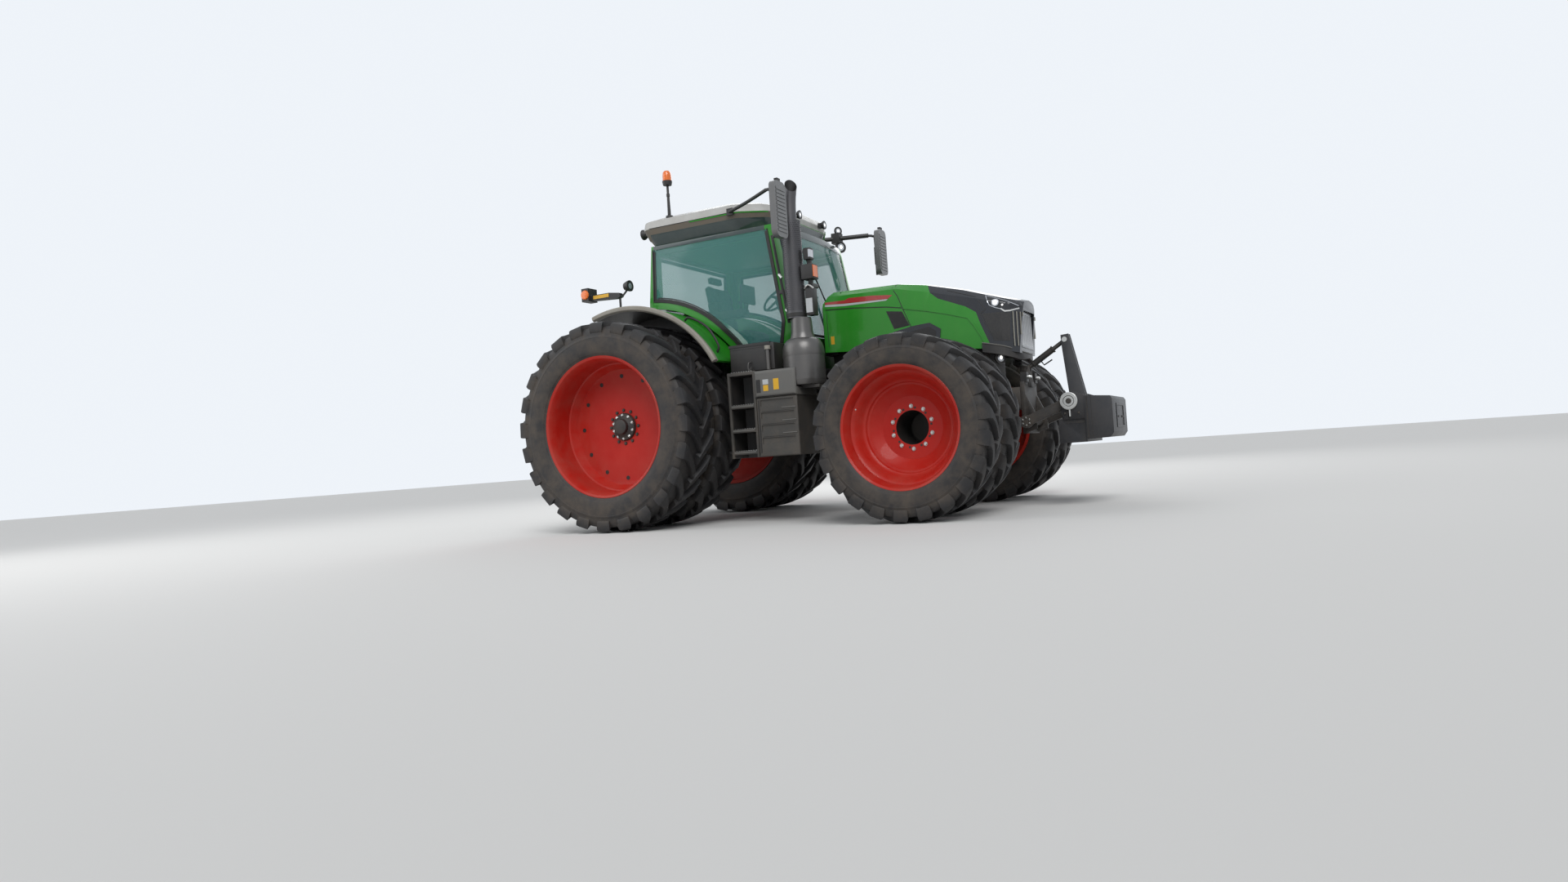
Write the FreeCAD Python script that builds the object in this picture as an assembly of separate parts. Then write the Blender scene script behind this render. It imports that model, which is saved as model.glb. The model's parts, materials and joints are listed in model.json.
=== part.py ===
import FreeCAD, Part
import math
import os

V = FreeCAD.Vector
ORIGIN = V(0, 0, 0)
ALONG_Y = V(0, 1, 0)

# A row-crop farm tractor on twin wheels. Lengths are millimetres, angles degrees.
# x runs forward from the rear axle, y to the left and z up from the ground.

# Wheels
WHEELBASE = 3050.0
REAR_RADIUS = 1040.0
REAR_WIDTH = 490.0
REAR_BEAD = REAR_RADIUS - 368.0
REAR_FLANGE = REAR_BEAD + 26.0
REAR_RIM_WIDTH = 430.0
REAR_LUGS = 24
REAR_OUTER_Y = 1540.0
REAR_INNER_Y = 920.0
REAR_HUB_DEPTH = 386.0
REAR_INNER_DEPTH = 300.0
REAR_SPACER_R = 185.0
REAR_SHAFT_R = 62.0
FRONT_RADIUS = 808.0
FRONT_WIDTH = 390.0
FRONT_BEAD = FRONT_RADIUS - 296.0
FRONT_FLANGE = FRONT_BEAD + 25.0
FRONT_RIM_WIDTH = 340.0
FRONT_LUGS = 22
FRONT_OUTER_Y = 1530.0
FRONT_INNER_Y = 900.0
FRONT_HUB_DEPTH = 345.0
FRONT_INNER_DEPTH = 130.0
FRONT_SPACER_R = 200.0
FRONT_SPINDLE_R = 75.0
LUG_HEIGHT = 48.0
RIM_WALL = 13.0
RUNNING_GAP = 0.05
SEAT_GAP = 0.3

# Front axle and steering
AXLE_DEPTH = 230.0
AXLE_HEIGHT = 210.0
KINGPIN_Y = 620.0
KINGPIN_R = 38.0
KNUCKLE_R = 62.0
KNUCKLE_HEIGHT = 290.0
EAR_THICKNESS = 42.0
EAR_GAP = 5.0
STEER_ARM = 200.0
STEER_ARM_WIDTH = 50.0
STEER_ROD_R = 18.0
BALL_PIN_R = 12.0
BALL_EYE_R = 28.0

# Backbone
FRAME_HALF = 270.0
FRAME_BOTTOM = 930.0
FRAME_TOP = 1130.0
FRAME_REAR_X = 1950.0
FRAME_FRONT_X = WHEELBASE + 690.0
GEARBOX_HALF = 290.0
GEARBOX_BOTTOM = 655.0
GEARBOX_TOP = 1280.0
GEARBOX_REAR_X = -400.0
TRUMPET_END_Y = 600.0
ENGINE_HALF = 310.0
ENGINE_TOP = 1800.0
ENGINE_REAR_X = 2030.0
ENGINE_FRONT_X = WHEELBASE + 230.0
RADIATOR_X = WHEELBASE + 290.0
RADIATOR_TOP = 1830.0

# Cab
CAB_FLOOR_Z = 1480.0
CAB_REAR_X = 60.0
CAB_FLOOR_HALF = 740.0
CAB_BELT_Z = 1950.0
CAB_BELT_HALF = 900.0
CAB_TOP_HALF = 830.0
CAB_TOP_Z = 2940.0
CAB_FRONT_X = 1700.0
CAB_FRONT_BULGE = 100.0
CAB_FRONT_LEAN = 0.18
CAB_WALL = 60.0
PANEL_GAP = 6.0
FRAME_BAR = 46.0
GLASS = 8.0
GLASS_SINK = 3.0
ROOF_TOP_Z = 3285.0
ROOF_EDGE_Z = 3120.0
ROOF_EDGE_HALF = 885.0
ROOF_REAR_X = -10.0
ROOF_FRONT_X = 1540.0
DOOR_HINGE_X = 150.0
DOOR_HINGE_Y = max(CAB_BELT_HALF, CAB_TOP_HALF) + 15.0
HINGE_LEVELS = (2430.0, 2790.0)
HINGE_LEAF = 28.0
HINGE_PIN_R = 8.0
MIRROR_X = 1800.0
MIRROR_Y = 1290.0
MIRROR_LOW = 2660.0
MIRROR_TOP = 3200.0
ARM_FOOT_X = 1120.0
LAMP_BRACKET_X = 1612.0
SIDE_LAMP_Z = 2270.0
WELL_R = 1235.0
FENDER_R = 1213.0
FENDER_WALL = 32.0
FENDER_OUTER_Y = 1300.0
FENDER_INNER_Y = 600.0

# Inside of the cab
SEAT_X = 660.0
SEAT_HALF = 250.0
SEAT_RISE = 360.0
WHEEL_GRIP_X = 1150.0
WHEEL_RISE = 805.0

# Sides below the cab
LADDER_REAR_X = REAR_RADIUS + 110.0
TYRE_ROOM = 352.0
SIDE_FRONT_X = WHEELBASE - FRONT_RADIUS - TYRE_ROOM
LADDER_SHARE = 0.408
SIDE_SPLIT_X = LADDER_REAR_X + (SIDE_FRONT_X - LADDER_REAR_X) * LADDER_SHARE
SIDE_LOW = 640.0
SIDE_STEP_Z = 1206.0
SIDE_TOP = 1462.0
SIDE_OUT_Y = 1230.0
LADDER_TOP = 1470.0
CANISTER_X = SIDE_FRONT_X + 5.0
CANISTER_Y = -1030.0
CANISTER_R = 200.0
CANISTER_LOW = 1290.0
CANISTER_TOP = 1936.0
STACK_X = CANISTER_X - 45.0
STACK_TOP = 3300.0
SHIELD_R = 95.0

# Bonnet
HOOD_REAR_X = 1860.0
HOOD_REAR_TOP_X = 1985.0
HOOD_NOSE_X = FRAME_FRONT_X + 85.0
HOOD_HINGE_X = 2040.0
HOOD_HINGE_Z = 2235.0
HOOD_WALL = 16.0
HOOD_EAR_Y = 146.0

# Front linkage and ballast
FRONT_ARM_X = FRAME_FRONT_X + 60.0
FRONT_ARM_Z = 800.0
FRONT_ARM_Y = 340.0
FRONT_SHAFT_R = 35.0
HOOK_X = FRONT_ARM_X + 406.0
HOOK_Z = 955.0
HOOK_PIN_R = 18.0
FRONT_TOP_X = FRAME_FRONT_X + 4.0
FRONT_TOP_Z = 1298.0
TOWER_X = HOOK_X - 70.0
TOWER_Z = 1548.0
WEIGHT_BACK_X = HOOK_X + 135.0
WEIGHT_FRONT_X = HOOK_X + 379.0
WEIGHT_HALF = 415.0

# Rear linkage and hitch
LOWER_LINK_X = -200.0
LOWER_LINK_Z = 620.0
LOWER_LINK_LENGTH = 930.0
LOWER_LINK_Y = 430.0
LIFT_ARM_X = -300.0
LIFT_ARM_Z = 1190.0
LIFT_ARM_REACH = 480.0
LIFT_ARM_RISE = 120.0
LIFT_POINT = 600.0
LIFT_SHAFT_R = 45.0
REAR_TOP_X = -440.0
REAR_TOP_Z = 1020.0
REAR_TOP_LENGTH = 640.0
LINK_PIN_R = 18.0
BALL_EYE_BORE_R = 18.7
TOP_EYE_BORE_R = 16.2
DRAWBAR_PIN_R = 19.0
PTO_R = 22.0
PTO_Z = 890.0

LINK_END_X = LOWER_LINK_X - LOWER_LINK_LENGTH - 50.0
X_SHIFT = -(WEIGHT_FRONT_X + LINK_END_X) / 2


def box(x0, x1, y0, y1, z0, z1):
    return Part.makeBox(x1 - x0, y1 - y0, z1 - z0, V(x0, y0, z0))


def rod(start, end, radius):
    """Round bar from one point to another."""
    run = V(*end) - V(*start)
    return Part.makeCylinder(radius, run.Length, V(*start), run)


def tube(start, end, outer, inner):
    return rod(start, end, outer).cut(rod(start, end, inner))


def face_of(points):
    return Part.Face(Part.makePolygon([V(*p) for p in points] + [V(*points[0])]))


def prism_xz(points, y0, y1):
    """Side outline of (x, z) points made solid from y0 to y1."""
    return face_of([(x, y0, z) for x, z in points]).extrude(V(0, y1 - y0, 0))


def prism_yz(points, x0, x1):
    """Front outline of (y, z) points made solid from x0 to x1."""
    return face_of([(x0, y, z) for y, z in points]).extrude(V(x1 - x0, 0, 0))


def prism_xy(points, z0, z1):
    """Plan outline of (x, y) points made solid from z0 to z1."""
    return face_of([(x, y, z0) for x, y in points]).extrude(V(0, 0, z1 - z0))


def edges_at(shape, axis, value):
    """Straight edges that lie wholly at one value of an axis."""
    return [e for e in shape.Edges
            if all(abs(getattr(v.Point, axis) - value) < 0.01 for v in e.Vertexes)]


def other_side(shape):
    return shape.mirror(ORIGIN, ALONG_Y)


def fused(*shapes):
    whole = shapes[0].multiFuse(list(shapes[1:])) if len(shapes) > 1 else shapes[0]
    return whole.removeSplitter()


def bar(start, end, depth, y0, y1):
    """Flat bar between two (x, z) points, its depth square to its run."""
    dx, dz = end[0] - start[0], end[1] - start[1]
    length = math.hypot(dx, dz)
    nx, nz = -dz / length * depth / 2, dx / length * depth / 2
    corners = [(start[0] + nx, start[1] + nz), (end[0] + nx, end[1] + nz),
               (end[0] - nx, end[1] - nz), (start[0] - nx, start[1] - nz)]
    return prism_xz(corners, y0, y1)


def export(name, *solids):
    shape = Part.makeCompound(list(solids)) if len(solids) > 1 else solids[0]
    shape = shape.copy()
    shape.translate(V(X_SHIFT, 0, 0))
    shape.exportStep(os.path.join("parts", name + ".step"))


# Faceted wheels: rings of points about the axle, skinned one to the next

def skin(rings):
    """Faces between rings of equal length; points that coincide give no face."""
    faces = []
    for near, far in zip(rings, rings[1:]):
        count = len(near)
        for i in range(count):
            j = (i + 1) % count
            for corners in ((near[i], near[j], far[j]), (near[i], far[j], far[i])):
                sides = [(corners[k] - corners[k - 1]).Length for k in range(3)]
                if min(sides) > 0.01:
                    faces.append(face_of([tuple(c) for c in corners]))
    return faces


def solid_of(faces):
    shell = Part.makeShell(faces)
    shell.sewShape()
    solid = Part.makeSolid(shell)
    if solid.Volume < 0:
        solid.reverse()
    return solid


def wheel_point(turn, radius, y):
    return V(radius * math.sin(turn), y, radius * math.cos(turn))


def tyre(radius, width, bead, lugs):
    """Lugged tyre about the y axis: two half treads whose lugs meet at the middle."""
    pitch = 2 * math.pi / lugs
    root = radius - LUG_HEIGHT
    side_r = bead + 0.5 * (root - bead)
    half_tread = width * 0.47
    bead_y = width * 0.36
    bead_corner = bead / math.cos(pitch)
    sweep = 0.95 * pitch
    # lug section columns: share of pitch to each side, radius
    shoulder = ((-0.22, root - 18), (-0.15, radius - 14), (0.15, radius - 14), (0.22, root - 18))
    crown = radius / math.cos(0.16 * pitch)
    nose = ((-0.25, root), (-0.16, crown), (0.16, crown), (0.25, root))

    def lug_ring(section, y, lag, offset):
        return [wheel_point((k + offset + share) * pitch - lag, r, y)
                for k in range(lugs) for share, r in section]

    def plain_ring(r, y, offset):
        return [wheel_point((k - k % 2 + 0.5 + offset) * pitch - sweep, r, y)
                for k in range(lugs) for _ in range(4)]

    faces = []
    for hand, offset in ((1, 0.0), (-1, 0.5)):
        base = [(share, root) for share in (-0.25, -0.25, 0.25, 0.25)]
        rings = [plain_ring(bead_corner, hand * bead_y, offset),
                 plain_ring(side_r, hand * width * 0.5, offset),
                 lug_ring(shoulder, hand * half_tread, sweep, offset),
                 lug_ring(nose, 0, 0, offset),
                 lug_ring(base, 0, 0, offset)]
        faces += skin(rings)
    beads = [[wheel_point((k + 0.5 + offset) * pitch - sweep, bead_corner, hand * bead_y)
              for k in range(0, lugs, 2)] for hand, offset in ((-1, 0.5), (1, 0.0))]
    faces += skin(beads)
    return solid_of(faces)


def rim(profile):
    """Wheel rim: a closed outline of (depth, radius) points turned about the y axis."""
    outline = face_of([(0, -depth, radius) for depth, radius in profile])
    return outline.revolve(ORIGIN, ALONG_Y, 360)


def barrel(width, flange, bead):
    """Outside of a rim from its outer to its inner flange, as (depth, radius)."""
    bed = bead - SEAT_GAP
    return [(0, flange), (RIM_WALL, flange), (RIM_WALL, bed), (width - RIM_WALL, bed),
            (width - RIM_WALL, flange), (width, flange)]


def rear_outer_rim():
    inside = REAR_BEAD - SEAT_GAP - RIM_WALL
    hub = REAR_HUB_DEPTH
    return rim(barrel(REAR_RIM_WIDTH, REAR_FLANGE, REAR_BEAD) + [
        (REAR_RIM_WIDTH, inside), (hub + RIM_WALL, REAR_BEAD - 112), (hub + RIM_WALL, REAR_SHAFT_R + 40),
        (hub, REAR_SHAFT_R + 40), (hub, REAR_BEAD - 132), (hub - 80, inside - 20), (50, inside)])


def front_outer_rim():
    inside = FRONT_BEAD - SEAT_GAP - RIM_WALL
    hub = FRONT_HUB_DEPTH
    back = FRONT_RIM_WIDTH
    return rim(barrel(FRONT_RIM_WIDTH, FRONT_FLANGE, FRONT_BEAD) + [
        (back, inside), (back - 60, FRONT_BEAD - 102), (hub + RIM_WALL, FRONT_BEAD - 222),
        (hub + RIM_WALL, 150), (hub, 150), (hub, FRONT_BEAD - 232), (back - 90, FRONT_BEAD - 142),
        (back - 110, FRONT_BEAD - 102), (50, inside)])


def inner_rim(width, flange, bead, depth, hole):
    inside = bead - SEAT_GAP - RIM_WALL
    return rim(barrel(width, flange, bead) + [
        (width, inside), (depth + RIM_WALL, inside), (depth + RIM_WALL, hole),
        (depth, hole), (depth, inside), (0, inside)])


def set_wheel(shape, x, y, radius):
    placed = shape.copy()
    placed.translate(V(x, y, radius))
    return placed


def wheels():
    """Twin wheels at each corner: the tyres, and the rims bolted to their common hub."""
    # axle columns: name, x, radius, width, bead, lugs, outer y, inner y
    axles = (("rear", 0.0, REAR_RADIUS, REAR_WIDTH, REAR_BEAD, REAR_LUGS,
              REAR_OUTER_Y, REAR_INNER_Y),
             ("front", WHEELBASE, FRONT_RADIUS, FRONT_WIDTH, FRONT_BEAD, FRONT_LUGS,
              FRONT_OUTER_Y, FRONT_INNER_Y))
    for name, x, radius, width, bead, lugs, outer_y, inner_y in axles:
        carcass = tyre(radius, width, bead, lugs)
        tyres = [set_wheel(carcass, x, y, radius) for y in (outer_y, inner_y)]
        if name == "rear":
            outer, inner = rear_outer_rim(), inner_rim(
                REAR_RIM_WIDTH, REAR_FLANGE, REAR_BEAD, REAR_INNER_DEPTH, REAR_SPACER_R - 40)
            edge = REAR_RIM_WIDTH / 2
        else:
            outer, inner = front_outer_rim(), inner_rim(
                FRONT_RIM_WIDTH, FRONT_FLANGE, FRONT_BEAD, FRONT_INNER_DEPTH,
                FRONT_SPACER_R - 45)
            edge = FRONT_RIM_WIDTH / 2
        rims = [set_wheel(outer, x, outer_y + edge, radius),
                set_wheel(inner, x, inner_y + edge, radius)]
        wheel = fused(rear_hub() if name == "rear" else front_hub(), *rims)
        for side in ("left", "right"):
            turn = other_side if side == "right" else (lambda shape: shape)
            export("tyres_%s_%s" % (name, side), *[turn(t) for t in tyres])
            export("wheel_%s_%s" % (name, side), turn(wheel))


def front_hub():
    """Planet hub on its spindle, and the spacer drum that carries the outer wheel."""
    x, z = WHEELBASE, FRONT_RADIUS
    disc_in = FRONT_INNER_Y + FRONT_RIM_WIDTH / 2 - FRONT_INNER_DEPTH
    disc_out = FRONT_OUTER_Y + FRONT_RIM_WIDTH / 2 - FRONT_HUB_DEPTH
    start = KINGPIN_Y + KNUCKLE_R + 18
    drum = rod((x, start, z), (x, disc_in - RIM_WALL, z), FRONT_SPACER_R - 10)
    nose = rod((x, disc_in - RIM_WALL, z), (x, disc_in + 60, z), FRONT_SPACER_R - 60)
    spacer = tube((x, disc_in, z), (x, disc_out - RIM_WALL, z), FRONT_SPACER_R,
                  FRONT_SPACER_R - 50)
    web = rod((x, disc_in, z), (x, disc_in + 20, z), FRONT_SPACER_R)
    bore = rod((x, start - 1, z), (x, start + 160 + 5, z), FRONT_SPINDLE_R + RUNNING_GAP)
    return fused(drum, nose, web, spacer).cut(bore)


def rear_hub():
    """Bar axle with the wheel flange and the spacer drum to the outer wheel."""
    z = REAR_RADIUS
    disc_in = REAR_INNER_Y + REAR_RIM_WIDTH / 2 - REAR_INNER_DEPTH
    disc_out = REAR_OUTER_Y + REAR_RIM_WIDTH / 2 - REAR_HUB_DEPTH
    shaft = rod((0, GEARBOX_HALF + 80, z), (0, disc_out + 70, z), REAR_SHAFT_R)
    flange = rod((0, disc_in - RIM_WALL - 90, z), (0, disc_in - RIM_WALL, z), REAR_SPACER_R)
    spacer = tube((0, disc_in, z), (0, disc_out - RIM_WALL, z), REAR_SPACER_R,
                  REAR_SPACER_R - 30)
    web = rod((0, disc_in, z), (0, disc_in + 20, z), REAR_SPACER_R)
    neck = rod((0, disc_in - RIM_WALL, z), (0, disc_in, z), REAR_SPACER_R - 40)
    cap = rod((0, disc_out, z), (0, disc_out + 34, z), REAR_SHAFT_R + 78)
    end = rod((0, disc_out - RIM_WALL - 20, z), (0, disc_out, z), REAR_SHAFT_R + 40)
    plate = rod((0, disc_out - RIM_WALL - 20, z), (0, disc_out - RIM_WALL, z), REAR_SPACER_R)
    return fused(shaft, flange, neck, web, spacer, plate, end, cap)


# Front axle and steering

def front_axle():
    x, z = WHEELBASE, FRONT_RADIUS
    half, ear = AXLE_DEPTH / 2, KNUCKLE_HEIGHT / 2 + EAR_GAP
    beam_end = KINGPIN_Y - KNUCKLE_R - 16
    parts = [box(x - half, x + half, -beam_end, beam_end, z - AXLE_HEIGHT / 2,
                 z + AXLE_HEIGHT / 2),
             box(x - half, x + half, -180, 180, z + AXLE_HEIGHT / 2, FRAME_BOTTOM)]
    for side in (-1, 1):
        inner, outer = sorted((side * (beam_end - 60), side * beam_end))
        parts.append(box(x - 75, x + 75, inner, outer, z - ear - EAR_THICKNESS,
                         z + ear + EAR_THICKNESS))
        for low in (z + ear, z - ear - EAR_THICKNESS):
            parts.append(rod((x, side * KINGPIN_Y, low),
                             (x, side * KINGPIN_Y, low + EAR_THICKNESS), 75))
            y0, y1 = sorted((side * (beam_end - 10), side * KINGPIN_Y))
            parts.append(box(x - 75, x + 75, y0, y1, low, low + EAR_THICKNESS))
    beam = fused(*parts)
    for side in (-1, 1):
        beam = beam.cut(rod((x, side * KINGPIN_Y, z - 300), (x, side * KINGPIN_Y, z + 300),
                            KINGPIN_R + RUNNING_GAP))
    export("front_axle", fused(beam, steering_barrel()))


def knuckles():
    """Steering knuckles with kingpin, wheel spindle and track arm."""
    x, z = WHEELBASE, FRONT_RADIUS
    reach = KNUCKLE_HEIGHT / 2
    pin = reach + EAR_GAP + EAR_THICKNESS
    ball_x = x - STEER_ARM
    body = fused(
        rod((x, KINGPIN_Y, z - reach), (x, KINGPIN_Y, z + reach), KNUCKLE_R),
        rod((x, KINGPIN_Y, z - pin), (x, KINGPIN_Y, z + pin), KINGPIN_R),
        rod((x, KINGPIN_Y, z), (x, KINGPIN_Y + KNUCKLE_R + 14, z), 112),
        rod((x, KINGPIN_Y, z), (x, KINGPIN_Y + KNUCKLE_R + 18 + 160, z), FRONT_SPINDLE_R),
        box(ball_x, x, KINGPIN_Y - STEER_ARM_WIDTH / 2, KINGPIN_Y + STEER_ARM_WIDTH / 2, z, z + 34),
        rod((ball_x, KINGPIN_Y, z), (ball_x, KINGPIN_Y, z + 34), STEER_ARM_WIDTH / 2),
        rod((ball_x, KINGPIN_Y, z - 40), (ball_x, KINGPIN_Y, z), BALL_PIN_R))
    export("knuckle_left", body)
    export("knuckle_right", other_side(body))


def steering_barrel():
    """Double-ended steering cylinder bolted behind the axle beam."""
    x, z = WHEELBASE - STEER_ARM, FRONT_RADIUS - 20
    barrel_half = 230.0
    body = tube((x, -barrel_half, z), (x, barrel_half, z), 42, STEER_ROD_R + RUNNING_GAP)
    for side in (-1, 1):
        body = body.fuse(box(x + 20, WHEELBASE - AXLE_DEPTH / 2, side * 150 - 25,
                             side * 150 + 25, z - 30, z + 30))
    return body.cut(rod((x, -600, z), (x, 600, z), STEER_ROD_R + RUNNING_GAP))


def steering_rod():
    """Through rod of the steering cylinder, an open eye over each track-arm pin."""
    x, z = WHEELBASE - STEER_ARM, FRONT_RADIUS - 20
    eye_end = KINGPIN_Y - BALL_EYE_R - 8
    bar_ = rod((x, -eye_end, z), (x, eye_end, z), STEER_ROD_R)
    for side in (-1, 1):
        eye = rod((x, side * KINGPIN_Y, z - 12), (x, side * KINGPIN_Y, z + 12), BALL_EYE_R + 14)
        bar_ = bar_.fuse(eye)
    for side in (-1, 1):
        bar_ = bar_.cut(rod((x, side * KINGPIN_Y, z - 30), (x, side * KINGPIN_Y, z + 30),
                            BALL_EYE_R))
    export("steering_rod", bar_.removeSplitter())


# Backbone

def backbone():
    rails = []
    for side in (-1, 1):
        y0, y1 = sorted((side * (FRAME_HALF - 60), side * FRAME_HALF))
        rails.append(box(FRAME_REAR_X, FRAME_FRONT_X, y0, y1, FRAME_BOTTOM, FRAME_TOP))
    for x0 in (FRAME_REAR_X, WHEELBASE - 120, FRAME_FRONT_X - 80):
        width = 240 if x0 == WHEELBASE - 120 else 80
        rails.append(box(x0, x0 + width, -FRAME_HALF, FRAME_HALF, FRAME_BOTTOM, FRAME_TOP))
    export("front_frame", fused(*rails))
    export("engine_block", box(ENGINE_REAR_X, ENGINE_FRONT_X, -ENGINE_HALF, ENGINE_HALF,
                               FRAME_TOP, ENGINE_TOP))
    export("radiator", box(RADIATOR_X, RADIATOR_X + 140, -290, 290, FRAME_TOP, RADIATOR_TOP))
    side_view = [(GEARBOX_REAR_X, 820), (GEARBOX_REAR_X + 120, GEARBOX_BOTTOM), (700, GEARBOX_BOTTOM),
                 (FRAME_REAR_X, 760), (FRAME_REAR_X, GEARBOX_TOP - 60), (1500, GEARBOX_TOP),
                 (-150, GEARBOX_TOP), (GEARBOX_REAR_X, 1120)]
    housing = prism_xz(side_view, -GEARBOX_HALF, GEARBOX_HALF)
    pto_bore = rod((GEARBOX_REAR_X - 1, 0, PTO_Z), (GEARBOX_REAR_X + 30, 0, PTO_Z), 60)
    housing = housing.cut(pto_bore)
    trumpets = []
    for side in (-1, 1):
        start, end = side * GEARBOX_HALF, side * TRUMPET_END_Y
        cone = Part.makeCone(230, 140, TRUMPET_END_Y - GEARBOX_HALF,
                             V(0, start, REAR_RADIUS), V(0, side, 0))
        bore = rod((0, start + side * 60, REAR_RADIUS), (0, end + side, REAR_RADIUS),
                   REAR_SHAFT_R + RUNNING_GAP)
        trumpets.append(cone.cut(bore))
    lift_top = LIFT_ARM_Z + 110
    lift_housing = prism_xz([(GEARBOX_REAR_X + 10, 1100), (-100, 1200), (-100, GEARBOX_TOP),
                             (-150, lift_top), (GEARBOX_REAR_X + 10, lift_top)],
                            -GEARBOX_HALF, GEARBOX_HALF)
    parts = [housing, lift_housing] + trumpets
    for mount_x in (300, 1350):
        for mount_y in (-220, 220):
            parts.append(rod((mount_x, mount_y, GEARBOX_TOP - 10),
                             (mount_x, mount_y, CAB_FLOOR_Z - SEAT_GAP), 60))
    for y0, y1 in ((GEARBOX_HALF - 1, 420), (-760, 1 - GEARBOX_HALF)):
        parts.append(box(1200, 1800, y0, y1, 900, 1000))
    parts.append(rod((GEARBOX_REAR_X - 110, 0, PTO_Z), (GEARBOX_REAR_X + 35, 0, PTO_Z), PTO_R))
    lift_bore = rod((LIFT_ARM_X, -GEARBOX_HALF - 1, LIFT_ARM_Z),
                    (LIFT_ARM_X, GEARBOX_HALF + 1, LIFT_ARM_Z), LIFT_SHAFT_R + RUNNING_GAP)
    export("gearbox", fused(*parts).cut(lift_bore))


# Right and left sides below the cab

def ladder(y_out):
    """Step box: two side plates and four treads, open between."""
    x0, x1, z0, z1 = LADDER_REAR_X, SIDE_SPLIT_X - SEAT_GAP, SIDE_LOW, LADDER_TOP
    depth = 300.0
    parts = [box(x0, x0 + 24, y_out, y_out + depth, z0, z1),
             box(x1 - 24, x1, y_out, y_out + depth, z0, z1),
             box(x0, x1, y_out + depth - 24, y_out + depth, z0, z1)]
    for top in (709.0, 920.0, 1153.0, z1):
        parts.append(box(x0, x1, y_out, y_out + depth, top - 34, top))
    return fused(*parts)


def side_gear():
    right = -SIDE_OUT_Y
    export("steps", ladder(right), other_side(ladder(right)))
    cover = box(SIDE_SPLIT_X, SIDE_FRONT_X + 10, right - 25, -820, SIDE_STEP_Z - 1, SIDE_TOP)
    cover = cover.makeFillet(34, edges_at(cover, "y", right - 25))
    cover = cover.cut(rod((CANISTER_X, CANISTER_Y, CANISTER_LOW - 10),
                          (CANISTER_X, CANISTER_Y, SIDE_TOP + 40), CANISTER_R + 5))
    panel = box(SIDE_SPLIT_X, SIDE_FRONT_X, right, -760, SIDE_LOW, SIDE_STEP_Z)
    panel = panel.makeFillet(16, edges_at(panel, "y", right))
    for step in range(4):
        z0 = SIDE_LOW + 120 * (step + 1)
        panel = panel.cut(box(SIDE_SPLIT_X + 48, SIDE_FRONT_X - 40, right - 1, right + 10, z0,
                              z0 + 60))
    export("side_box_right", fused(panel, cover))
    low, top = LADDER_TOP + SEAT_GAP, 1735
    deck = [(-1150, low), (-cab_half(low) - SEAT_GAP, low), (-cab_half(top) - SEAT_GAP, top),
            (-1150, top)]
    export("deck_box_right", prism_yz(deck, LADDER_REAR_X, SIDE_SPLIT_X + 188))
    tank = box(SIDE_SPLIT_X, SIDE_FRONT_X, 420, SIDE_OUT_Y, SIDE_LOW, SIDE_TOP)
    export("fuel_tank_left", tank.makeFillet(45, edges_at(tank, "y", SIDE_OUT_Y)))


def exhaust():
    """Treatment canister on its shelf, the stack over it and the shield round the stack."""
    x, y, low, top = CANISTER_X, CANISTER_Y, CANISTER_LOW, CANISTER_TOP
    outline = [(0, low), (CANISTER_R - 20, low), (CANISTER_R, low + 40), (CANISTER_R, 1590),
               (150, 1720), (105, 1800), (95, top), (0, top)]
    half = face_of([(x + r, y, z) for r, z in outline])
    canister = half.revolve(V(x, y, 0), V(0, 0, 1), 360)
    shelf = box(x + 10, x + 190, y - 100, -ENGINE_HALF - SEAT_GAP, low - 28, low + 10)
    export("exhaust_canister", fused(canister, shelf))
    foot = top + SEAT_GAP
    export("exhaust_shield", tube((STACK_X, y, foot), (STACK_X, y, 2870), SHIELD_R, SHIELD_R - 7))
    pipe = rod((STACK_X, y, foot), (STACK_X, y, STACK_TOP), 62)
    slant = prism_xz([(STACK_X - 80, STACK_TOP - 240), (STACK_X - 80, STACK_TOP + 10),
                      (STACK_X + 80, STACK_TOP + 10)], y - 80, y + 80)
    export("exhaust_pipe", pipe.cut(rod((STACK_X, y, 2700), (STACK_X, y, STACK_TOP + 10), 56)).cut(slant))


# Cab

def cab_half(z):
    """Half width of the cab's outside at height z."""
    if z < CAB_BELT_Z:
        share = (z - CAB_FLOOR_Z) / (CAB_BELT_Z - CAB_FLOOR_Z)
        return CAB_FLOOR_HALF + (CAB_BELT_HALF - CAB_FLOOR_HALF) * share
    share = (z - CAB_BELT_Z) / (CAB_TOP_Z - CAB_BELT_Z)
    return CAB_BELT_HALF + (CAB_TOP_HALF - CAB_BELT_HALF) * share


def cab_hull(inset):
    """Closed form of the cab, drawn in by an inset on every wall."""
    side_view = [(CAB_REAR_X + inset, CAB_FLOOR_Z + inset), (CAB_REAR_X + inset, 2350),
                 (CAB_REAR_X + 34 + inset, CAB_TOP_Z - inset), (1700, CAB_TOP_Z - inset),
                 (1900, CAB_BELT_Z - 40), (1560 - inset, CAB_FLOOR_Z + inset)]
    front_view = [(-CAB_FLOOR_HALF + inset, CAB_FLOOR_Z), (-CAB_BELT_HALF + inset, CAB_BELT_Z),
                  (-CAB_TOP_HALF + inset, CAB_TOP_Z), (CAB_TOP_HALF - inset, CAB_TOP_Z),
                  (CAB_BELT_HALF - inset, CAB_BELT_Z), (CAB_FLOOR_HALF - inset, CAB_FLOOR_Z)]
    hull = prism_xz(side_view, -1000, 1000).common(prism_yz(front_view, -100, 2100))
    return hull.common(screen_block(inset)).cut(wheel_wells(inset))


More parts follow.
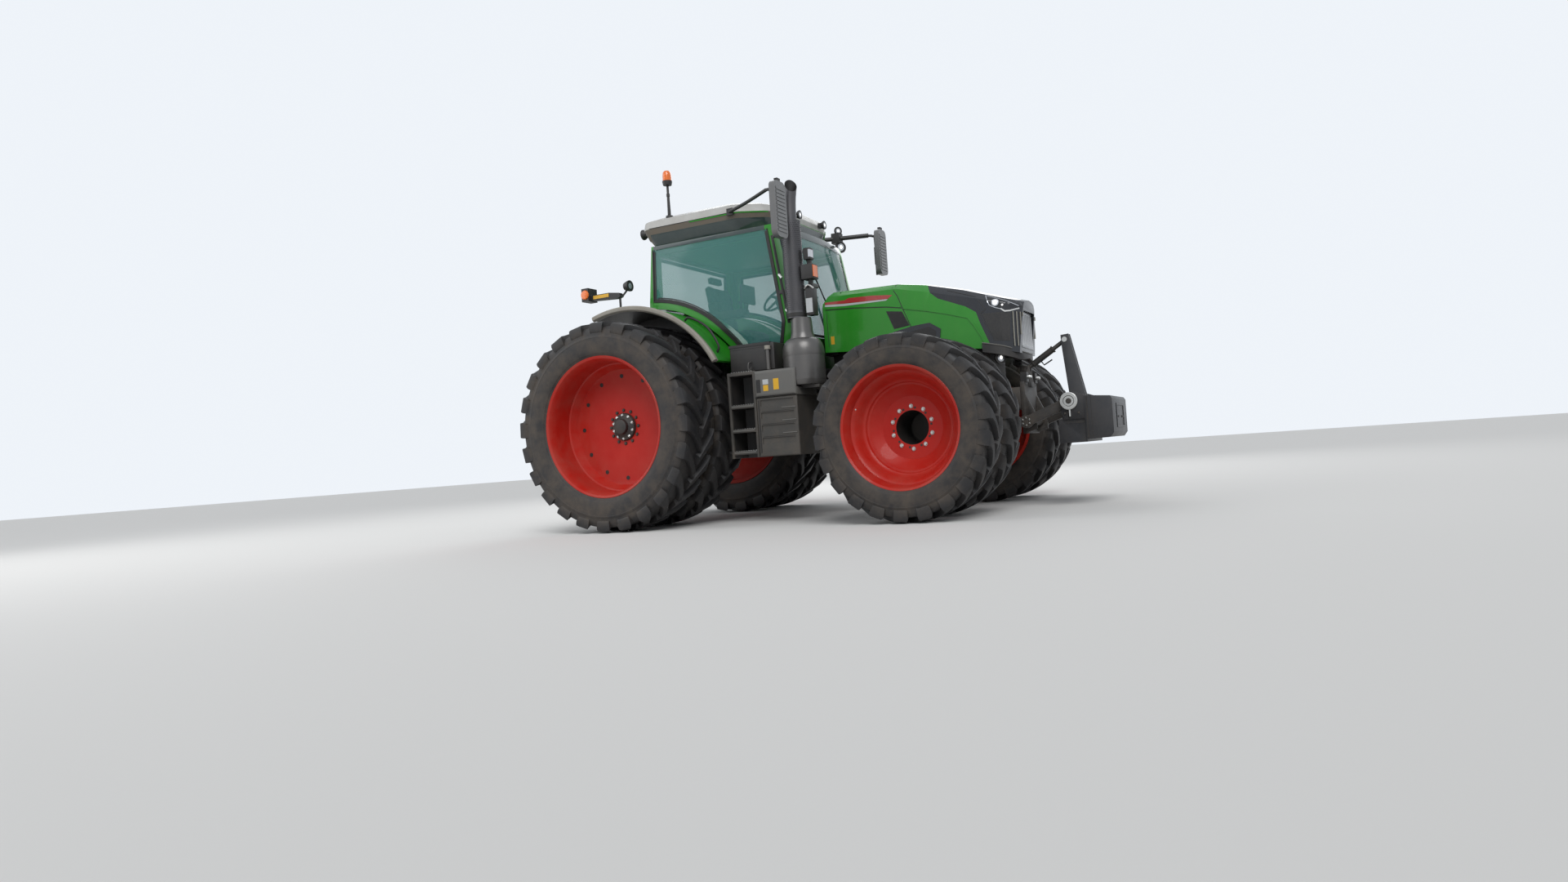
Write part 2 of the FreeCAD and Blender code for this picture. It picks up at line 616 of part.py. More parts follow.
def screen_block(inset):
    """Block whose front face is the leaning, curved windscreen surface."""
    low = CAB_FLOOR_Z - 50
    shift = (CAB_BELT_Z - low) * CAB_FRONT_LEAN
    side_x, mid_x = CAB_FRONT_X + shift - inset, CAB_FRONT_X + CAB_FRONT_BULGE + shift - inset
    a, b, c = V(side_x, -950, low), V(mid_x, 0, low), V(side_x, 950, low)
    arc = Part.Arc(a, b, c).toShape()
    back = [V(side_x, 950, low), V(-200, 950, low), V(-200, -950, low), V(side_x, -950, low)]
    outline = Part.Wire([arc] + [Part.makeLine(p, q) for p, q in zip(back, back[1:])])
    height = CAB_TOP_Z - low + 50
    return Part.Face(outline).extrude(V(-height * CAB_FRONT_LEAN, 0, height))


def wheel_wells(inset):
    wells = [rod((0, side * (FENDER_INNER_Y - inset), REAR_RADIUS), (0, side * 1100, REAR_RADIUS),
                 WELL_R + inset) for side in (-1, 1)]
    return wells[0].fuse(wells[1])


def side_outline(inset, side):
    """Side opening: straight at the pillars, an arc over the wheel below."""
    # side columns: rear x, sill above the wheel well, front x at top, belt and foot, top drop
    left, right = (170, 66, 1470, 1625, 1500, 70), (118, 80, 1486, 1648, 1520, 44)
    rear, sill, front_top, front_mid, front_low, drop = left if side > 0 else right
    radius = WELL_R + sill + inset
    rear, front_top = rear + inset, front_top - inset
    front_mid, front_low = front_mid - inset, front_low - inset
    top, low = CAB_TOP_Z - drop - inset, CAB_FLOOR_Z + 110 + inset
    arc_z = REAR_RADIUS + math.sqrt(radius ** 2 - rear ** 2)
    arc_x = math.sqrt(radius ** 2 - (low - REAR_RADIUS) ** 2)
    mid = math.atan2(arc_z - REAR_RADIUS, rear) * 0.5 + math.atan2(low - REAR_RADIUS, arc_x) * 0.5
    arc = Part.Arc(V(rear, 0, arc_z),
                   V(radius * math.cos(mid), 0, REAR_RADIUS + radius * math.sin(mid)),
                   V(arc_x, 0, low)).toShape()
    corners = [V(arc_x, 0, low), V(front_low, 0, low), V(front_mid, 0, CAB_BELT_Z),
               V(front_top, 0, top), V(rear, 0, top), V(rear, 0, arc_z)]
    return Part.Face(Part.Wire([arc] + [Part.makeLine(p, q) for p, q in zip(corners, corners[1:])]))


def side_cutter(inset, side):
    cutter = side_outline(inset, side)
    cutter.translate(V(0, side * 600, 0))
    return cutter.extrude(V(0, side * 500, 0))


def cab():
    hull, room = cab_hull(0), cab_hull(CAB_WALL)
    shell = hull.cut(room)
    pane_hull = cab_hull(GLASS_SINK).cut(cab_hull(GLASS_SINK + GLASS))
    doors = {side: side_cutter(0, side) for side in (-1, 1)}
    screen = box(1400, 2100, -760, 760, 1800, CAB_TOP_Z - 75)
    back = box(-100, 300, -700, 700, 1900, CAB_TOP_Z - 90)
    frame = shell.cut(doors[-1]).cut(doors[1]).cut(screen).cut(back)
    for z in HINGE_LEVELS:
        frame = frame.fuse(hinge_post(z))
    floor_slab = box(-100, 2100, -1000, 1000, CAB_FLOOR_Z - 10, CAB_FLOOR_Z + CAB_WALL)
    export("cab_floor", shell.common(floor_slab))
    screen_pane = pane_hull.common(box(1400, 2100, SEAT_GAP - 760, 760 - SEAT_GAP, 1800 + SEAT_GAP,
                                       CAB_TOP_Z - 75 - SEAT_GAP))
    edge = SEAT_GAP
    panes = [screen_pane, pane_hull.common(box(-100, 300, edge - 700, 700 - edge, 1900 + edge,
                                               CAB_TOP_Z - 90 - edge))]
    glass_hole = side_cutter(PANEL_GAP + FRAME_BAR, 1)
    panel = shell.common(side_cutter(PANEL_GAP, 1)).cut(glass_hole)
    for z in HINGE_LEVELS:
        panel = panel.fuse(hinge_lug(z)).cut(hinge_bore(z))
    export("door_frame_left", panel)
    export("door_glass_left", pane_hull.common(side_cutter(PANEL_GAP + FRAME_BAR + SEAT_GAP, 1)))
    panes.append(pane_hull.common(side_cutter(SEAT_GAP, -1)))
    export("cab_frame", frame.cut(floor_slab).removeSplitter())
    export("cab_glass", *panes)


def hinge_post(z):
    """Bracket on the rear pillar with the door's upright hinge pin."""
    arm = box(DOOR_HINGE_X - 22, DOOR_HINGE_X + 15, cab_half(z) - 20, DOOR_HINGE_Y + 12, z,
              z + HINGE_LEAF)
    return arm.fuse(rod((DOOR_HINGE_X, DOOR_HINGE_Y, z),
                        (DOOR_HINGE_X, DOOR_HINGE_Y, z + 2 * HINGE_LEAF + 4), HINGE_PIN_R))


def hinge_lug(z):
    """Cranked leaf on the door that turns on the hinge pin."""
    low, high = z + HINGE_LEAF + SEAT_GAP, z + 2 * HINGE_LEAF
    return fused(rod((DOOR_HINGE_X, DOOR_HINGE_Y, low), (DOOR_HINGE_X, DOOR_HINGE_Y, high), 15),
                 box(DOOR_HINGE_X, DOOR_HINGE_X + 66, DOOR_HINGE_Y - 13, DOOR_HINGE_Y + 13, low, high),
                 box(DOOR_HINGE_X + 34, DOOR_HINGE_X + 66, cab_half(z) - 20, DOOR_HINGE_Y, low, high))


def hinge_bore(z):
    return rod((DOOR_HINGE_X, DOOR_HINGE_Y, z), (DOOR_HINGE_X, DOOR_HINGE_Y, z + 3 * HINGE_LEAF),
               HINGE_PIN_R + RUNNING_GAP)


def roof():
    # roof section columns: z, rear x, front x, half width, corner radius
    sections = ((CAB_TOP_Z + SEAT_GAP, 105, ROOF_FRONT_X - 40, 820, 90),
                (ROOF_EDGE_Z - 80, 35, ROOF_FRONT_X - 15, 866, 120),
                (ROOF_EDGE_Z, ROOF_REAR_X, ROOF_FRONT_X, ROOF_EDGE_HALF, 140),
                (3195, ROOF_REAR_X + 10, ROOF_FRONT_X - 45, ROOF_EDGE_HALF - 13, 140),
                (3248, 120, ROOF_FRONT_X - 170, 740, 140), (ROOF_TOP_Z, 340, 1130, 470, 120))
    top = Part.makeLoft([roof_plan(*row) for row in sections], True, True)
    export("cab_roof", top)
    return top


def roof_plan(z, x0, x1, half, radius):
    """Closed plan outline at height z, drawn in towards the front, with round corners."""
    side = [(x0, half), (x1 - 350, half), (x1 - 105, half * 0.8), (x1, half * 0.5)]
    slab = prism_xy(side + [(x, -y) for x, y in reversed(side)], z, z + 10)
    upright = [e for e in slab.Edges if abs(e.Vertexes[0].Z - e.Vertexes[1].Z) > 5]
    slab = slab.makeFillet(radius, upright)
    bottom = [f for f in slab.Faces if abs(f.CenterOfMass.z - z) < 0.01][0]
    return bottom.OuterWire


def fenders():
    """Rear mudguards: an arc shell over the inner tyre with a lip at the outside."""
    rear_turn, front_turn = math.radians(-18), math.radians(62)
    outer = rod((0, FENDER_INNER_Y + 0.5, REAR_RADIUS), (0, FENDER_OUTER_Y, REAR_RADIUS), FENDER_R)
    inner = rod((0, FENDER_INNER_Y, REAR_RADIUS), (0, FENDER_OUTER_Y + 1, REAR_RADIUS),
                FENDER_R - FENDER_WALL)
    reach = 2000.0
    wedge = prism_xz([(0, REAR_RADIUS),
                      (reach * math.sin(rear_turn), REAR_RADIUS + reach * math.cos(rear_turn)),
                      (reach * 0.3, REAR_RADIUS + reach * 1.5),
                      (reach * math.sin(front_turn), REAR_RADIUS + reach * math.cos(front_turn))],
                     0, FENDER_OUTER_Y + 100)
    low, high, edge = FENDER_R - FENDER_WALL - 12, FENDER_R + 14, FENDER_OUTER_Y
    lip = face_of([(0, edge - 34, REAR_RADIUS + low + 8), (0, edge, REAR_RADIUS + low),
                   (0, edge + 16, REAR_RADIUS + low + 16), (0, edge + 16, REAR_RADIUS + high - 14),
                   (0, edge, REAR_RADIUS + high), (0, edge - 34, REAR_RADIUS + high - 6)])
    lip = lip.revolve(V(0, 0, REAR_RADIUS), ALONG_Y, 360)
    shell = fused(outer.cut(inner), lip).common(wedge)
    export("fenders", shell, other_side(shell))


def cab_inside():
    """Seat on its pedestal, steering column with its wheel, armrest with a screen."""
    floor = CAB_FLOOR_Z + CAB_WALL
    deck = floor + SEAT_RISE
    x, half = SEAT_X, SEAT_HALF
    export("seat_base", fused(box(x - 240, x + 220, -180, 180, floor, deck - 40),
                              box(x - 280, x + 240, -half, half, deck - 40, deck)))
    pad = deck + SEAT_GAP
    back = [(x - 260, pad + 80), (x - 350, pad + 660), (x - 260, pad + 700), (x - 160, pad + 130)]
    rest = [(x - 342, pad + 640), (x - 360, pad + 780), (x - 275, pad + 800), (x - 260, pad + 660)]
    cushion = fused(box(x - 260, x + 250, 5 - half, half - 5, pad, pad + 130),
                    prism_xz(back, 15 - half, half - 15), prism_xz(rest, -130, 130))
    export("seat_cushion", cushion)
    wheel_x, wheel_z = WHEEL_GRIP_X, floor + WHEEL_RISE
    foot = (wheel_x + 330, floor + 20)
    column = fused(bar(foot, (wheel_x + 10, wheel_z - 29), 90, -50, 50),
                   box(wheel_x + 180, wheel_x + 330, -140, 140, floor, floor + 160))
    column = column.cut(box(wheel_x - 200, wheel_x + 800, -300, 300, floor - 200, floor))
    grip = face_of([(180, 0, 0), (195, 0, -15), (210, 0, 0), (195, 0, 15)])
    ring = grip.revolve(ORIGIN, V(0, 0, 1), 360)
    spokes = [box(-190, 190, -14, 14, -8, 8), box(-14, 14, -190, 190, -8, 8),
              Part.makeCylinder(45, 50, V(0, 0, -30))]
    wheel = fused(ring, *spokes)
    wheel.rotate(ORIGIN, ALONG_Y, -35)
    wheel.translate(V(wheel_x, 0, wheel_z))
    export("steering_column", fused(column, wheel))
    inner = -half - SEAT_GAP
    rest = fused(box(x - 120, x + 260, inner - 170, inner - 30, deck + 240, deck + 320),
                 box(x - 80, x + 20, inner - 150, inner - 50, deck, deck + 240),
                 box(x - 80, x + 20, inner - 150, inner, deck - 30, deck))
    stalk = rod((x + 290, -400, deck + 280), (x + 328, -400, deck + 430), 14)
    monitor = fused(box(x + 320, x + 350, -560, -290, deck + 360, deck + 550), stalk,
                    box(x + 220, x + 300, -420, -380, deck + 260, deck + 300))
    export("armrest", fused(rest, monitor))


def mirror(side):
    """Arm from the roof edge with a tall mirror head."""
    edge, y, x = side * ROOF_EDGE_HALF, side * MIRROR_Y, MIRROR_X
    y0, y1 = sorted((edge + side * SEAT_GAP, edge + side * 22))
    head = box(x + 30, x + 100, y - 115, y + 115, MIRROR_LOW, MIRROR_TOP)
    head = head.makeFillet(22, edges_at(head, "x", x + 100))
    stem = box(x - 10, x + 32, y - 30, y + 30, MIRROR_LOW + 150, MIRROR_LOW + 340)
    return fused(box(ARM_FOOT_X - 35, ARM_FOOT_X + 35, y0, y1, ROOF_EDGE_Z - 30, ROOF_EDGE_Z + 30),
                 rod((ARM_FOOT_X, edge + side * 20, ROOF_EDGE_Z), (x - 40, y, MIRROR_TOP - 50), 20),
                 rod((x - 40, y, MIRROR_TOP - 50), (x, y, MIRROR_TOP - 100), 18),
                 rod((x, y, MIRROR_LOW + 20), (x, y, MIRROR_TOP - 80), 14), head, stem)


def outside_of_cab(top):
    export("mirrors", mirror(1), mirror(-1))
    lamps = []
    for side in (1, -1):
        # lamp columns: rear x, middle y
        for x0, y in ((ROOF_REAR_X - SEAT_GAP - 90, 660), (ROOF_FRONT_X + SEAT_GAP, 300)):
            lamp = box(x0, x0 + 90, side * y - 70, side * y + 70, ROOF_EDGE_Z - 45, ROOF_EDGE_Z + 45)
            face = x0 if x0 < 0 else x0 + 90
            lamps.append(lamp.makeFillet(25, edges_at(lamp, "x", face)))
    beacon = fused(rod((330, -800, 3170), (330, -800, 3560), 14),
                   rod((330, -800, 3560), (330, -800, 3720), 50)).cut(top)
    export("roof_lamps", beacon, *lamps)
    export("side_lamp_right", side_lamp())
    stalks = []
    for side in (1, -1):
        foot = REAR_RADIUS + math.sqrt(FENDER_R ** 2 - 68 ** 2) + SEAT_GAP
        post = rod((-80, side * 1200, foot), (-80, side * 1200, 2400), 12)
        beam = box(-480, -60, side * 1200 - 30, side * 1200 + 30, 2390, 2450)
        stalks.append(fused(post, beam, box(-520, -430, side * 1200 - 75, side * 1200 + 75, 2385, 2525)))
    export("marker_lamps", *stalks)


def side_lamp():
    """Bracket from the right front pillar past the stack, with two lamps and a box."""
    inner = -cab_half(SIDE_LAMP_Z - 50) - SEAT_GAP
    x0, x1 = LAMP_BRACKET_X, STACK_X + SHIELD_R + 8
    low = SIDE_LAMP_Z - 50
    return fused(box(x0, x1 + 80, inner - 16, inner, low, low + 40),
                 box(x1 + 40, x1 + 80, -1010, inner, low, low + 40),
                 box(x1 + 15, x1 + 95, -1060, -960, low - 270, low - 10),
                 box(x1 + 40, x1 + 80, -1030, -990, low - 30, low + 300),
                 box(x1, x1 + 120, -1090, -960, low + 70, low + 210),
                 box(x1 + 20, x1 + 90, -1060, -970, low + 260, low + 370))


# Bonnet

def hood_section(x, half, low, crease, shoulder, top):
    """Half octagon section at x, mirrored: lower edge, crease, shoulder, slope and crown."""
    side = [(half, low), (half, crease), (half * 0.95, shoulder), (half * 0.80, top - 30),
            (half * 0.45, top - 8)]
    points = side + [(0, top)] + [(-y, z) for y, z in reversed(side)]
    return Part.makePolygon([V(x, y, z) for y, z in points] + [V(x, side[0][0], side[0][1])])


def hood_form(inset):
    """Closed form of the bonnet, drawn in by an inset on its walls and top."""
    # bonnet columns: x, half width, lower edge z, crease z, shoulder z, crown z
    rows = ((HOOD_REAR_X, 450, 1645, 2090, 2205, 2284), (2640, 450, 1600, 1995, 2185, 2268),
            (2920, 446, 1570, 1945, 2120, 2221), (3290, 428, 1530, 1815, 2025, 2124),
            (3510, 408, 1505, 1690, 1965, 2050), (3640, 385, 1480, 1640, 1935, 2008),
            (3720, 352, 1460, 1620, 1915, 1985), (3780, 300, 1445, 1610, 1900, 1970),
            (3825, 225, 1440, 1605, 1890, 1958))
    wires = []
    for x, half, low, crease, shoulder, top in rows:
        at = HOOD_REAR_X + (x - HOOD_REAR_X) * (HOOD_NOSE_X - HOOD_REAR_X) / (3825 - HOOD_REAR_X)
        if inset and at == HOOD_REAR_X:
            at -= 1
        wires.append(hood_section(at, half - inset, low - (1 if inset else 0), crease - inset * 0.3,
                                  shoulder - inset, top - inset))
    body = Part.makeLoft(wires, True, True)
    face_x = HOOD_NOSE_X - inset
    front = prism_xz([(face_x, 1960), (face_x - 55, 1400), (face_x + 200, 1400), (face_x + 200, 2300)],
                     -600, 600)
    return body.cut(front)


def hood():
    shell = hood_form(0).cut(hood_form(HOOD_WALL))
    slope = prism_xz([(HOOD_REAR_X - 10, 2118), (HOOD_REAR_TOP_X, 2290), (HOOD_REAR_TOP_X, 2400),
                      (HOOD_REAR_X - 10, 2400)], -600, 600)
    shell = shell.cut(slope)
    x = HOOD_NOSE_X
    nose_zone = prism_xz([(x - 890, 2300), (x - 880, 2189), (x - 840, 2100), (x - 765, 2035),
                          (x - 505, 1925), (x - 410, 1860), (x - 375, 1750), (x - 280, 1500),
                          (x - 280, 1300), (x + 80, 1300), (x + 80, 2300)], -600, 600)
    grille_zone = box(x - 140, x + 80, -215, 215, 1500, 1850)
    lamp_zone = prism_xz([(x - 308, 2004), (x - 279, 1899), (x + 20, 1868), (x + 20, 1905)], 232, 600)
    lamp_zone = lamp_zone.fuse(other_side(lamp_zone))
    nose = shell.common(nose_zone)
    skin_part = shell.cut(nose_zone)
    for side in (-1, 1):
        y0, y1 = sorted((side * HOOD_EAR_Y, side * (HOOD_EAR_Y + 16)))
        ear = box(HOOD_HINGE_X - 12, HOOD_HINGE_X + 12, y0, y1, HOOD_HINGE_Z - 18, HOOD_HINGE_Z + 32)
        skin_part = skin_part.fuse(ear)
    bore = rod((HOOD_HINGE_X, -600, HOOD_HINGE_Z), (HOOD_HINGE_X, 600, HOOD_HINGE_Z),
               HINGE_PIN_R + RUNNING_GAP)
    export("hood", skin_part.cut(bore))
    export("hood_nose", nose.cut(grille_zone).cut(lamp_zone))
    export("headlamps", *nose.cut(grille_zone).common(lamp_zone).Solids)
    face_x = x - 62
    bars = [box(face_x, face_x + 24, -215, 215, 1500, 1530), box(face_x, face_x + 24, -215, 215, 1820, 1850)]
    for y in range(-200, 201, 50):
        bars.append(box(face_x, face_x + 24, y - 9, y + 9, 1500, 1850))
    export("grille", fused(*bars))


def cowl():
    """Bulkhead between bonnet and cab, with the bonnet's hinge brackets."""
    x, z = HOOD_HINGE_X, HOOD_HINGE_Z
    half, low, top, corner = 390, 1620, 2155, 50
    bulkhead = [(-half, low), (-half, top - corner), (corner - half, top), (half - corner, top),
                (half, top - corner), (half, low)]
    parts = [prism_yz(bulkhead, 1830, 1970),
             box(1880, ENGINE_REAR_X - SEAT_GAP, -300, 300, GEARBOX_TOP + 20, 1700)]
    for side in (-1, 1):
        y0, y1 = sorted((side * (HOOD_EAR_Y + 20), side * (HOOD_EAR_Y + 36)))
        parts.append(prism_xz([(1940, z - 105), (x + 14, z - 105), (x + 14, z), (x - 14, z),
                               (x - 14, z - 69), (1940, z - 69)], y0, y1))
        parts.append(rod((x, y0, z), (x, y1, z), 14))
        y0, y1 = sorted((side * (HOOD_EAR_Y - 4), side * (HOOD_EAR_Y + 36)))
        parts.append(rod((x, y0, z), (x, y1, z), HINGE_PIN_R))
    export("cowl", fused(*parts))


# Front linkage and ballast

def front_linkage():
    plate_y = 230.0
    parts = [box(FRAME_FRONT_X, FRAME_FRONT_X + 40, -250, 250, 690, 1180)]
    for side in (-1, 1):
        y0, y1 = sorted((side * (plate_y - 20), side * (plate_y + 20)))
        parts.append(prism_xz([(FRAME_FRONT_X, 690), (FRONT_ARM_X + 70, 730), (FRONT_ARM_X + 70, 860),
                               (FRAME_FRONT_X, 1150)], y0, y1))
        y0, y1 = sorted((side * 24, side * 44))
        parts.append(prism_xz([(FRONT_TOP_X - 40, 1130), (FRONT_TOP_X + 60, 1130),
                               (FRONT_TOP_X + 45, FRONT_TOP_Z + 40),
                               (FRONT_TOP_X - 40, FRONT_TOP_Z + 40)], y0, y1))
    parts.append(box(FRONT_TOP_X - 40, FRONT_TOP_X + 60, -60, 60, 1130, 1180))
    frame = fused(*parts)
    frame = frame.cut(rod((FRONT_ARM_X, -300, FRONT_ARM_Z), (FRONT_ARM_X, 300, FRONT_ARM_Z),
                          FRONT_SHAFT_R + RUNNING_GAP))
    frame = frame.cut(rod((FRONT_TOP_X, -60, FRONT_TOP_Z), (FRONT_TOP_X, 60, FRONT_TOP_Z),
                          LINK_PIN_R + RUNNING_GAP))
    export("front_hitch_frame", frame)
    arms = [rod((FRONT_ARM_X, -FRONT_ARM_Y - 30, FRONT_ARM_Z),
                (FRONT_ARM_X, FRONT_ARM_Y + 30, FRONT_ARM_Z), FRONT_SHAFT_R)]
    for side in (-1, 1):
        y0, y1 = sorted((side * (FRONT_ARM_Y - 30), side * (FRONT_ARM_Y + 30)))
        arms.append(bar((FRONT_ARM_X, FRONT_ARM_Z), (HOOK_X, HOOK_Z), 90, y0, y1))
        arms.append(rod((FRONT_ARM_X, y0, FRONT_ARM_Z), (FRONT_ARM_X, y1, FRONT_ARM_Z), 60))
        arms.append(rod((HOOK_X, y0, HOOK_Z), (HOOK_X, y1, HOOK_Z), 45))
    lift = fused(*arms).cut(rod((HOOK_X, -500, HOOK_Z), (HOOK_X, 500, HOOK_Z),
                                HOOK_PIN_R + RUNNING_GAP))
    export("front_lift_arms", lift)
    link = fused(rod((FRONT_TOP_X, -50, FRONT_TOP_Z), (FRONT_TOP_X, 50, FRONT_TOP_Z), LINK_PIN_R),
                 rod((FRONT_TOP_X, -18, FRONT_TOP_Z), (FRONT_TOP_X, 18, FRONT_TOP_Z), 34),
                 rod((FRONT_TOP_X, 0, FRONT_TOP_Z), (TOWER_X, 0, TOWER_Z), 20),
                 rod((TOWER_X, -18, TOWER_Z), (TOWER_X, 18, TOWER_Z), 38))
    link = link.cut(rod((TOWER_X, -40, TOWER_Z), (TOWER_X, 40, TOWER_Z), 24))
    export("front_top_link", link)


def ballast():
    """Ballast block with its coupling cheeks, pins and top-link tower."""
    half = WEIGHT_HALF
    back = WEIGHT_BACK_X
    front = [(back, 602), (back, 995), (WEIGHT_FRONT_X - 25, 975), (WEIGHT_FRONT_X, 950),
             (WEIGHT_FRONT_X, 650), (WEIGHT_FRONT_X - 40, 608)]
    parts = [prism_xz(front, -half, half),
             box(HOOK_X - 106, back, -half + 20, half - 20, 578, 795),
             box(HOOK_X - 96, back, -270, 270, 795, 985)]
    for side in (-1, 1):
        y0, y1 = sorted((side * 388, side * 410))
        parts.append(prism_xz([(back, 790), (back, 1000), (HOOK_X + 24, 1040), (HOOK_X - 56, 1000),
                               (HOOK_X - 76, 860), (HOOK_X - 56, 790)], y0, y1))
        y0, y1 = sorted((side * 260, side * 436))
        parts.append(rod((HOOK_X, y0, HOOK_Z), (HOOK_X, y1, HOOK_Z), HOOK_PIN_R))
        y0, y1 = sorted((side * 408, side * 424))
        parts.append(rod((HOOK_X, y0, HOOK_Z), (HOOK_X, y1, HOOK_Z), 75))
    for side in (-1, 1):
        y0, y1 = sorted((side * 22, side * 46))
        parts.append(prism_xz([(HOOK_X - 56, 980), (HOOK_X + 94, 980), (TOWER_X + 38, TOWER_Z + 50),
                               (TOWER_X - 34, TOWER_Z + 44), (TOWER_X - 30, TOWER_Z - 60)], y0, y1))
    parts.append(rod((TOWER_X, -46, TOWER_Z), (TOWER_X, 46, TOWER_Z), 14))
    export("ballast_weight", fused(*parts))


# Rear linkage, drawbar and power take-off

def rear_linkage():
    ball_x, ball_z = LOWER_LINK_X - LOWER_LINK_LENGTH, LOWER_LINK_Z - 20
    links = [rod((LOWER_LINK_X, -LOWER_LINK_Y, LOWER_LINK_Z), (LOWER_LINK_X, LOWER_LINK_Y, LOWER_LINK_Z), 26)]
    for side in (-1, 1):
        y0, y1 = sorted((side * (LOWER_LINK_Y - 18), side * (LOWER_LINK_Y + 18)))
        links.append(bar((LOWER_LINK_X, LOWER_LINK_Z), (ball_x, ball_z), 80, y0, y1))
        links.append(rod((LOWER_LINK_X, y0, LOWER_LINK_Z), (LOWER_LINK_X, y1, LOWER_LINK_Z), 48))
        links.append(rod((ball_x, y0 - 8, ball_z), (ball_x, y1 + 8, ball_z), 50))
    lower = fused(*links).cut(rod((ball_x, -600, ball_z), (ball_x, 600, ball_z), BALL_EYE_BORE_R))
    export("lower_links", lower)
    hangers = []
    for side in (-1, 1):
        y0, y1 = sorted((side * 300, side * 340))
        hanger = prism_xz([(LOWER_LINK_X - 45, LOWER_LINK_Z - 50), (LOWER_LINK_X + 45, LOWER_LINK_Z - 50),
                           (LOWER_LINK_X + 120, 800), (LOWER_LINK_X - 60, 800)], y0, y1)
        hangers.append(hanger)
        y0, y1 = sorted((side * GEARBOX_HALF, side * 340))
        hangers.append(box(LOWER_LINK_X - 60, LOWER_LINK_X + 120, y0, y1, 730, 800))
    hangers = [fused(*hangers[0:2]), fused(*hangers[2:4])]
    bore = rod((LOWER_LINK_X, -500, LOWER_LINK_Z), (LOWER_LINK_X, 500, LOWER_LINK_Z), 26 + RUNNING_GAP)
    castings = [h.cut(bore) for h in hangers]
    tip_x, tip_z = LIFT_ARM_X - LIFT_ARM_REACH, LIFT_ARM_Z + LIFT_ARM_RISE
    arms = [rod((LIFT_ARM_X, -400, LIFT_ARM_Z), (LIFT_ARM_X, 400, LIFT_ARM_Z), LIFT_SHAFT_R)]
    for side in (-1, 1):
        y0, y1 = sorted((side * 350, side * 400))
        arms.append(bar((LIFT_ARM_X, LIFT_ARM_Z), (tip_x, tip_z), 90, y0, y1))
        arms.append(rod((LIFT_ARM_X, y0, LIFT_ARM_Z), (LIFT_ARM_X, y1, LIFT_ARM_Z), 70))
        arms.append(rod((tip_x, y0, tip_z), (tip_x, y1, tip_z), 45))
    arms = fused(*arms).cut(rod((tip_x, -500, tip_z), (tip_x, 500, tip_z), LINK_PIN_R + RUNNING_GAP))
    export("lift_arms", arms)
    point_x = LOWER_LINK_X - LIFT_POINT
    point_z = LOWER_LINK_Z - 20 * LIFT_POINT / LOWER_LINK_LENGTH
    rods = []
    for side in (-1, 1):
        y = side * LOWER_LINK_Y
        parts = [rod((tip_x, side * 346, tip_z), (tip_x, side * 470, tip_z), LINK_PIN_R),
                 rod((tip_x, side * 410, tip_z), (tip_x, side * 450, tip_z), 42),
                 rod((tip_x, y, tip_z), (point_x, y, point_z + 110), 24)]
        for offset in (-34, 34):
            parts.append(box(point_x - 28, point_x + 28, y + offset - 8, y + offset + 8,
                             point_z - 30, point_z + 130))
        parts.append(box(point_x - 28, point_x + 28, y - 42, y + 42, point_z + 90, point_z + 130))
        rods.append(fused(*parts))
    export("lift_rods", *rods)
    top = fused(rod((REAR_TOP_X, -50, REAR_TOP_Z), (REAR_TOP_X, 50, REAR_TOP_Z), LINK_PIN_R),
                rod((REAR_TOP_X, -18, REAR_TOP_Z), (REAR_TOP_X, 18, REAR_TOP_Z), 34),
                rod((REAR_TOP_X, 0, REAR_TOP_Z), (REAR_TOP_X - REAR_TOP_LENGTH, 0, REAR_TOP_Z + 60), 24),
                rod((REAR_TOP_X - REAR_TOP_LENGTH, -25, REAR_TOP_Z + 60),
                    (REAR_TOP_X - REAR_TOP_LENGTH, 25, REAR_TOP_Z + 60), 42))
    end = (REAR_TOP_X - REAR_TOP_LENGTH, REAR_TOP_Z + 60)
    export("rear_top_link", top.cut(rod((end[0], -60, end[1]), (end[0], 60, end[1]), TOP_EYE_BORE_R)))
    ears = []
    for side in (-1, 1):
        y0, y1 = sorted((side * 24, side * 46))
        ears.append(box(REAR_TOP_X - 45, GEARBOX_REAR_X, y0, y1, REAR_TOP_Z - 60, REAR_TOP_Z + 60))
    pin = rod((REAR_TOP_X, -60, REAR_TOP_Z), (REAR_TOP_X, 60, REAR_TOP_Z), LINK_PIN_R + RUNNING_GAP)
    castings += [e.cut(pin) for e in ears]
    export("rear_hitch_frame", *castings)
    slope = (820 - GEARBOX_BOTTOM) / 120
    seat = 820 - SEAT_GAP
    hanger = prism_xz([(GEARBOX_REAR_X, 560), (GEARBOX_REAR_X + 80, 560),
                       (GEARBOX_REAR_X + 80, seat - 80 * slope), (GEARBOX_REAR_X, seat)], -110, 110)
    hitch = fused(box(-760, 200, -50, 50, 460, 510), box(-420, -300, -120, 120, 510, 560), hanger,
                  box(100, 200, -50, 50, 510, GEARBOX_BOTTOM - SEAT_GAP))
    hitch = hitch.cut(rod((-700, 0, 400), (-700, 0, 600), DRAWBAR_PIN_R))
    export("drawbar", hitch)


def main():
    os.makedirs("parts", exist_ok=True)
    wheels()
    front_axle()
    knuckles()
    steering_rod()
    backbone()
    side_gear()
    exhaust()
    cab()
    top = roof()
    fenders()
    cab_inside()
    outside_of_cab(top)
    hood()
    cowl()
    front_linkage()
    ballast()
    rear_linkage()


main()
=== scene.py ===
import json
import math

import bmesh
import bpy
from mathutils import Matrix, Vector
from mathutils.bvhtree import BVHTree

